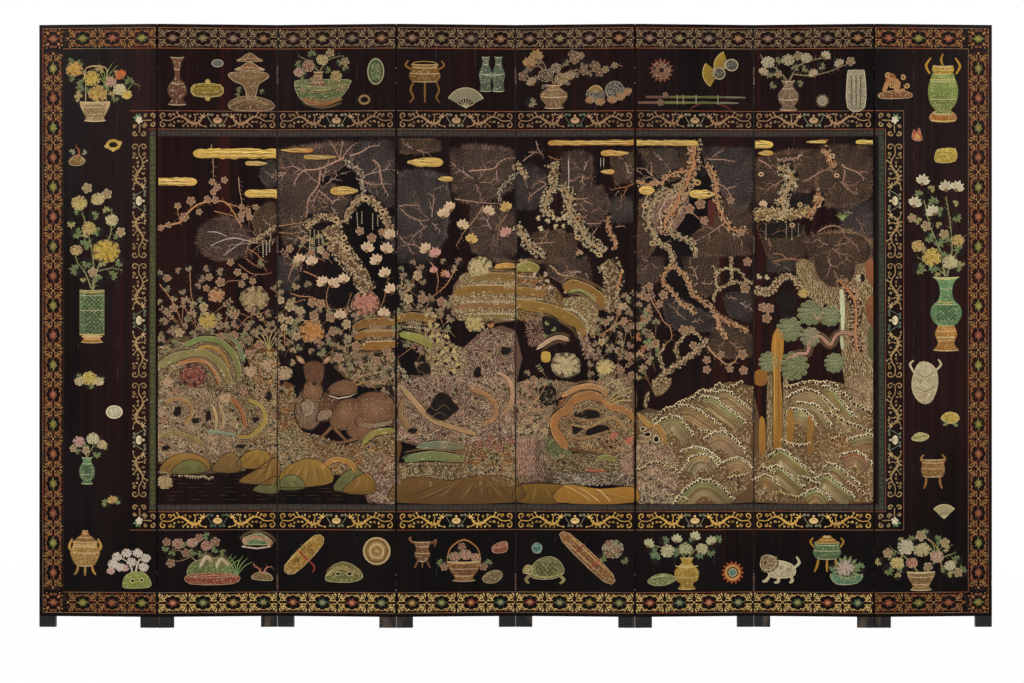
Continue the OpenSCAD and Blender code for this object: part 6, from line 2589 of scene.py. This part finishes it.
ANTIQUES_BELOW = """
slab 0.2 #6f7c44 1 188,568 196,560 214,557 228,562 234,570 230,576 192,576
slab 0.5 #984c34 1 186,575 210,572 238,575 232,583 192,583
teeth 0.9 #e0b078 0 188,577 211,575 236,577
ribbon 0.7 #cdbd94 4 200,566 206,556 212,562
216,566 221,558 228,566
grass 0.3 #7f9a58 22 236,576
grass 0.3 #7f9a58 20 226,572
twig 0.2 #8a7058 1.4 198,562 186,552 172,548
206,560 206,548 212,540
twig 0.2 #8a7058 1.2 190,556 180,560 168,558
leaves 0.4 #6a7c48 5 172,554 182,544 194,550 202,552 216,548 208,536 166,546 224,552
mum 0.9 #b07c68 6 178,543
mum 0.9 #b88c74 5.5 192,542
mum 0.9 #a86c5c 5.5 206,545
blossom 1 plum 4.4 167,541 199,537 215,541 186,552 171,562
ribbon 0.3 #b08468 8 243,543 249,538 258,537 266,540 270,545
slab 0.5 #6f8c5c 1 243,543 249,535 260,533 268,540 266,544
beads 1.2 #e0c8a8 1 242,546 256,548 270,546
slab 0.2 #8c7048 1 251,578 256,572 268,573 271,580
twig 0.5 #c07860 1.8 260,574 258,568 252,564
twig 0.5 #c07860 1.6 262,574 265,568 270,566
slab 0.2 #b08638 1 284,565 314,535 323,543 294,573
line 0.8 #6a4818 0.8 289,568 317,538
line 0.8 #e0c070 1 284,565 314,535
line 0.9 #a03c2c 2.4 297,549 308,560
line 0.9 #a03c2c 1.6 306,558 314,566 312,572
scroll 0.9 #6a4818 3 302,547 311,551 296,560
slab 0.2 #7f7a40 1 325,578 330,568 342,561 356,566 363,576 352,581 332,581
ribbon 0.7 #a89a5c 5 328,575 340,567 360,574
hole 1 #c8bc80 1 338,573 2,1.6 350,573 2.4,1.6
scroll 1 #5c5830 2.4 333,571 345,570 356,573
disc 0.2 #a8854c 1.6 377,550 14,14
disc 0.9 #c8a868 1 377,550 7.5,7.5
beads 1.3 #6a4c2c 0.9 366,550 370,541 377,539 384,541 388,550 384,559 377,561 370,559 366,550
spikes 1.6 #8c5c30 5 377,550
vessel 0.3 #8a5c3c 1 422,0 9,541 6,548 8,554 4,560
line 0.1 #8a5c3c 2.6 413,542 409,538 411,536
431,543 436,539 434,546
line 0.1 #7c5034 2.4 418,559 414,567
426,559 430,567
line 0.1 #7c5034 2 422,560 422,567
line 0.1 #a8703c 1.8 447,562 450,548 464,539 478,548 481,562
vessel 0.3 #9c6a3c 1 464,0 17,561 15,568 10,575 9,578 12,580
lattice 1.1 #5c3820 3 452,564 476,574
line 1.1 #e0b878 1.4 447,561 464,562.5 481,561
leaves 0.5 #6a7c48 5 450,558 478,560 458,552 489,564 442,562
mum 0.9 #a8705c 5.5 455,556
mum 0.9 #c08c70 6 466,554
mum 0.9 #b87c60 5 476,557
blossom 1 plum 4 462,546 484,566 444,566
slab 0.2 #8a7450 1 483,577 490,571 500,570 503,576 496,582 486,582
slab 0.2 #a05c48 1 494,545 507,541 507,551 494,552
line 0.7 #e0b090 0.8 496,547 505,546
slab 0.2 #4c7c78 1 533,546 538,542 543,546 541,552 535,552
line 0.7 #98c0b4 0.7 533,546 543,546 538,552 533,546
slab 0.3 #7c7c48 1 530,572 538,560 552,556 562,562 565,572 554,578 536,578
lattice 0.8 #3c3c20 5 537,562 559,575
line 0.9 #b8a868 1.4 530,573 546,577 564,573
line 0.1 #9c8c58 4 532,574 527,579 530,583
560,574 565,579 561,583
slab 0.3 #a8985c 1 524,572 527,565 533,566 533,573
hole 1 #d0c080 1 528,569 0.9,0.9
slab 0.2 #98683c 1 563,540 571,533 614,573 606,581
line 0.8 #d8a868 1 566,540 606,577
572,536 611,572
line 0.9 #9a3c30 2.4 576,552 586,543
592,567 602,558
scroll 0.9 #5c3c1c 2.6 580,549 589,557 598,566
mum 0.4 #a89878 11 614,548
blossom 1.2 plum 4 610,543 618,549 611,553
leaves 0.3 #6a7c48 5 603,556 625,558
vessel 0.3 #c0983c 1 687.5,0 7,557 5,562 12,570 11,579 6,583 9,588
line 1.1 #e8cc80 1.4 676,565 687.5,567 699,565
twig 0.2 #8a8a58 1.6 686,557 676,548 660,546 648,542
689,557 700,546 712,544
leaves 0.5 #5f7c50 6 652,550 664,540 674,552 684,544 700,552 712,550 694,540 656,558 718,540
mum 0.9 #cfc494 7 668,550
mum 0.9 #b8b87c 7 686,548
mum 0.9 #d2c48c 6 703,548
magnolia 0.9 #c8c898 6.5 648,545 677,541 713,543 695,538
slab 0.3 #8a9458 1 648,580 656,574 668,573 677,578 666,584 654,584
line 0.8 #4c542c 0.9 651,579 664,577 675,578
line 0.8 #d8d0a0 0.7 652,577 662,575 670,575
spikes 0.2 #a84c30 12 734,572
hoop 0.7 #c8964c 2.6 734,572 7,7
disc 0.8 #6f8c78 1 734,572 4,4
slab 0.4 #d6c69c 1 768,566 776,560 790,562 797,568 794,576 774,577
slab 0.7 #dccda4 1 762,562 766,555 775,556 778,563 772,569 764,568
curls 1.1 foamy 2.2 763,556 778,556 780,566 772,572 763,570
hole 1.6 #3c2c1c 1 767,562 0.8,0.8
line 0.4 #d6c69c 3.4 772,574 768,580 764,581
780,575 780,581 776,582
792,574 794,580 791,582
line 0.4 #e0d0a8 3 796,567 801,562 798,556
scroll 1 #8a7448 2 783,567 790,569
vessel 0.4 #5f7c50 1 828.5,0 13,542 12,546 14,552 10,558
vessel 0.8 #b8862c 1 828.5,0 3,535 8,539 13,542
line 0.1 #b8862c 2.4 816,547 812,541 815,537
841,547 845,541 842,537
line 0.1 #b8862c 3 820,557 819,564 816,571
837,557 838,564 841,571
line 0.1 #b8862c 2.6 828.5,558 828.5,565 828.5,571
slab 0.3 #5f8a68 1 832,573 848,577 864,573 858,582 838,583
spikes 0.6 #7c8a58 15 848,569
mum 0.9 #d0b8a4 9 847,567
leaves 0.5 #6f8c5c 5 834,566 862,567 848,558
"""


def shape_dot(pen, points, tint, size):
    """Round studs."""
    for x, y in points:
        pen.dot(x, y, size, tint, mix(tint, CREAM, 0.4), 12)


# What draws each kind of row
SHAPES = {
    "beads": shape_beads,
    "blades": shape_blades,
    "blossom": shape_blossom,
    "cloud": shape_cloud,
    "curls": shape_curls,
    "disc": shape_disc,
    "dot": shape_dot,
    "fan": shape_fan,
    "fibres": shape_fibres,
    "foam": shape_foam,
    "foliage": shape_foliage,
    "fur": shape_fur,
    "grain": shape_grain,
    "grass": shape_grass,
    "hill": shape_hill,
    "hole": shape_hole,
    "hoop": shape_hoop,
    "knot": shape_knot,
    "lattice": shape_lattice,
    "leaves": shape_leaves,
    "line": shape_line,
    "magnolia": shape_magnolia,
    "mum": shape_mum,
    "pad": shape_pad,
    "pebbles": shape_pebbles,
    "pine": shape_pine,
    "plate": shape_plate,
    "ribbon": shape_ribbon,
    "scroll": shape_scroll,
    "slab": shape_slab,
    "spikes": shape_spikes,
    "sprig": shape_sprig,
    "teeth": shape_teeth,
    "trunk": shape_trunk,
    "twig": shape_twig,
    "vessel": shape_vessel,
    "water": shape_water,
    "wave": shape_wave,
}

# The further darkening of the antiques at the top is painted shade, for the dimmer light on the top of the
# screen
SHADE, SHADE_ABOVE = 0.2, 0.48  # how much darker the antiques are than their tints, and those at the top


def paint_antiques():
    """Vases, flowers, censers and scholars' things, alone on the lacquer of the field."""
    antiques = Relief("antiques")
    draw(Pen(antiques), ANTIQUES_LEFT, SHADE)
    draw(Pen(antiques), ANTIQUES_RIGHT, SHADE)
    # Painted shade: the antiques at the top are darkened further
    draw(Pen(antiques), ANTIQUES_ABOVE, SHADE_ABOVE)
    draw(Pen(antiques), ANTIQUES_BELOW, SHADE)
    antiques.build(PAINT)


# ---------------------------------------------------------------- floor, light and camera

VIEW_MIDDLE = (-0.0126, 0.9956)  # the point of the row that the picture is centred on, x and z
VIEW_WIDTH = 3.570  # what the picture takes in at the row
CAMERA_AWAY = 9.4
SENSOR = 36.0

FLOOR_SIZE = 120.0
WORLD_LIGHT = 0.6
# Each lamp's name, its place, where it points and its power
LAMPS = (
    ("lamp_left", (-4.6, -4.4, 3.6), (-0.4, 0, 1.0), 210),
    ("lamp_right", (4.8, -4.2, 3.4), (0.4, 0, 1.0), 176),
    ("lamp_behind", (0.5, 4.5, 4.0), (0, 0, 1.0), 120),
)
LAMP_SIZE = 2.6
FADE = (0.9, 4.5)  # how far from the screen the floor starts to fade into white, and is white
FLOOR_SHARE = 0.96  # how much of the floor near the screen is white of its own, beside its shadows


def fading_share(tree):
    """The floor's own white: a share near the screen, and all of it far away."""
    place = tree.nodes.new("ShaderNodeTexCoord")
    away = tree.nodes.new("ShaderNodeVectorMath")
    away.operation = "LENGTH"
    tree.links.new(place.outputs["Object"], away.inputs[0])
    share = tree.nodes.new("ShaderNodeMapRange")
    for name, value in zip(("From Min", "From Max", "To Min", "To Max"), (*FADE, FLOOR_SHARE, 1.0)):
        share.inputs[name].default_value = value
    tree.links.new(away.outputs["Value"], share.inputs["Value"])
    return share.outputs[0]


def white_for_camera(tree, light, output, shown, share):
    """Mixes what the camera and its reflections see into a surface or world shader."""
    nodes, links = tree.nodes, tree.links
    path = nodes.new("ShaderNodeLightPath")
    seen = path.outputs["Is Camera Ray"]
    for name in ("Is Glossy Ray", "Is Transmission Ray"):
        either = nodes.new("ShaderNodeMath")
        either.operation = "MAXIMUM"
        links.new(seen, either.inputs[0])
        links.new(path.outputs[name], either.inputs[1])
        seen = either.outputs[0]
    part = nodes.new("ShaderNodeMath")
    part.operation = "MULTIPLY"
    if isinstance(share, float):
        part.inputs[1].default_value = share
    else:
        links.new(share, part.inputs[1])
    links.new(seen, part.inputs[0])
    both = nodes.new("ShaderNodeMixShader")
    links.new(part.outputs[0], both.inputs[0])
    links.new(light.outputs[0], both.inputs[1])
    links.new(shown.outputs[0], both.inputs[2])
    links.new(both.outputs[0], output.inputs[0])


def lay_floor():
    """A wide pale floor that fades into the white of the world."""
    bpy.ops.object.select_all(action="DESELECT")
    bpy.ops.mesh.primitive_plane_add(size=FLOOR_SIZE)
    floor = bpy.context.object
    floor.name = "floor"
    material = bpy.data.materials.new("pale_floor")
    material.use_nodes = True
    tree = material.node_tree
    surface = tree.nodes["Principled BSDF"]
    surface.inputs["Base Color"].default_value = (0.8, 0.8, 0.79, 1)
    surface.inputs["Roughness"].default_value = 0.9
    surface.inputs["Specular IOR Level"].default_value = 0.0
    shown = tree.nodes.new("ShaderNodeEmission")
    shown.inputs["Color"].default_value = (1, 1, 1, 1)
    white_for_camera(tree, surface, tree.nodes["Material Output"], shown, fading_share(tree))
    floor.data.materials.append(material)
    floor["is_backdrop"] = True


def light_world():
    """White to the eye, and a softer grey as a light."""
    world = bpy.data.worlds.new("studio")
    bpy.context.scene.world = world
    world.use_nodes = True
    tree = world.node_tree
    light = tree.nodes["Background"]
    light.inputs["Color"].default_value = (1, 1, 1, 1)
    light.inputs["Strength"].default_value = WORLD_LIGHT
    shown = tree.nodes.new("ShaderNodeBackground")
    shown.inputs["Color"].default_value = (1, 1, 1, 1)
    white_for_camera(tree, light, tree.nodes["World Output"], shown, 1.0)


def hang_lamp(name, place, aim, power):
    """A wide soft lamp that points at a place."""
    lamp = bpy.data.lights.new(name, "AREA")
    lamp.size = LAMP_SIZE
    lamp.energy = power
    holder = bpy.data.objects.new(name, lamp)
    holder.location = place
    holder.rotation_euler = (Vector(aim) - Vector(place)).to_track_quat("-Z", "Y").to_euler()
    bpy.context.collection.objects.link(holder)


def set_camera():
    """A camera straight in front of the row."""
    data = bpy.data.cameras.new("camera")
    data.sensor_width = SENSOR
    data.lens = SENSOR * CAMERA_AWAY / VIEW_WIDTH
    camera = bpy.data.objects.new("camera", data)
    camera.location = (VIEW_MIDDLE[0], -CAMERA_AWAY, VIEW_MIDDLE[1])
    camera.rotation_euler = (math.pi / 2, 0, 0)
    bpy.context.collection.objects.link(camera)
    bpy.context.scene.camera = camera


def set_studio():
    """The floor, the light and the camera."""
    bpy.context.scene.view_settings.view_transform = "Standard"
    lay_floor()
    light_world()
    for lamp in LAMPS:
        hang_lamp(*lamp)
    set_camera()


# ---------------------------------------------------------------- making the screen

finish_frame()
shade_beads_in_folds()
paint_borders()
paint_picture()
paint_antiques()
set_studio()

boxes = [[list(corner) for corner in box] for box in (cad_box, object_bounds())]
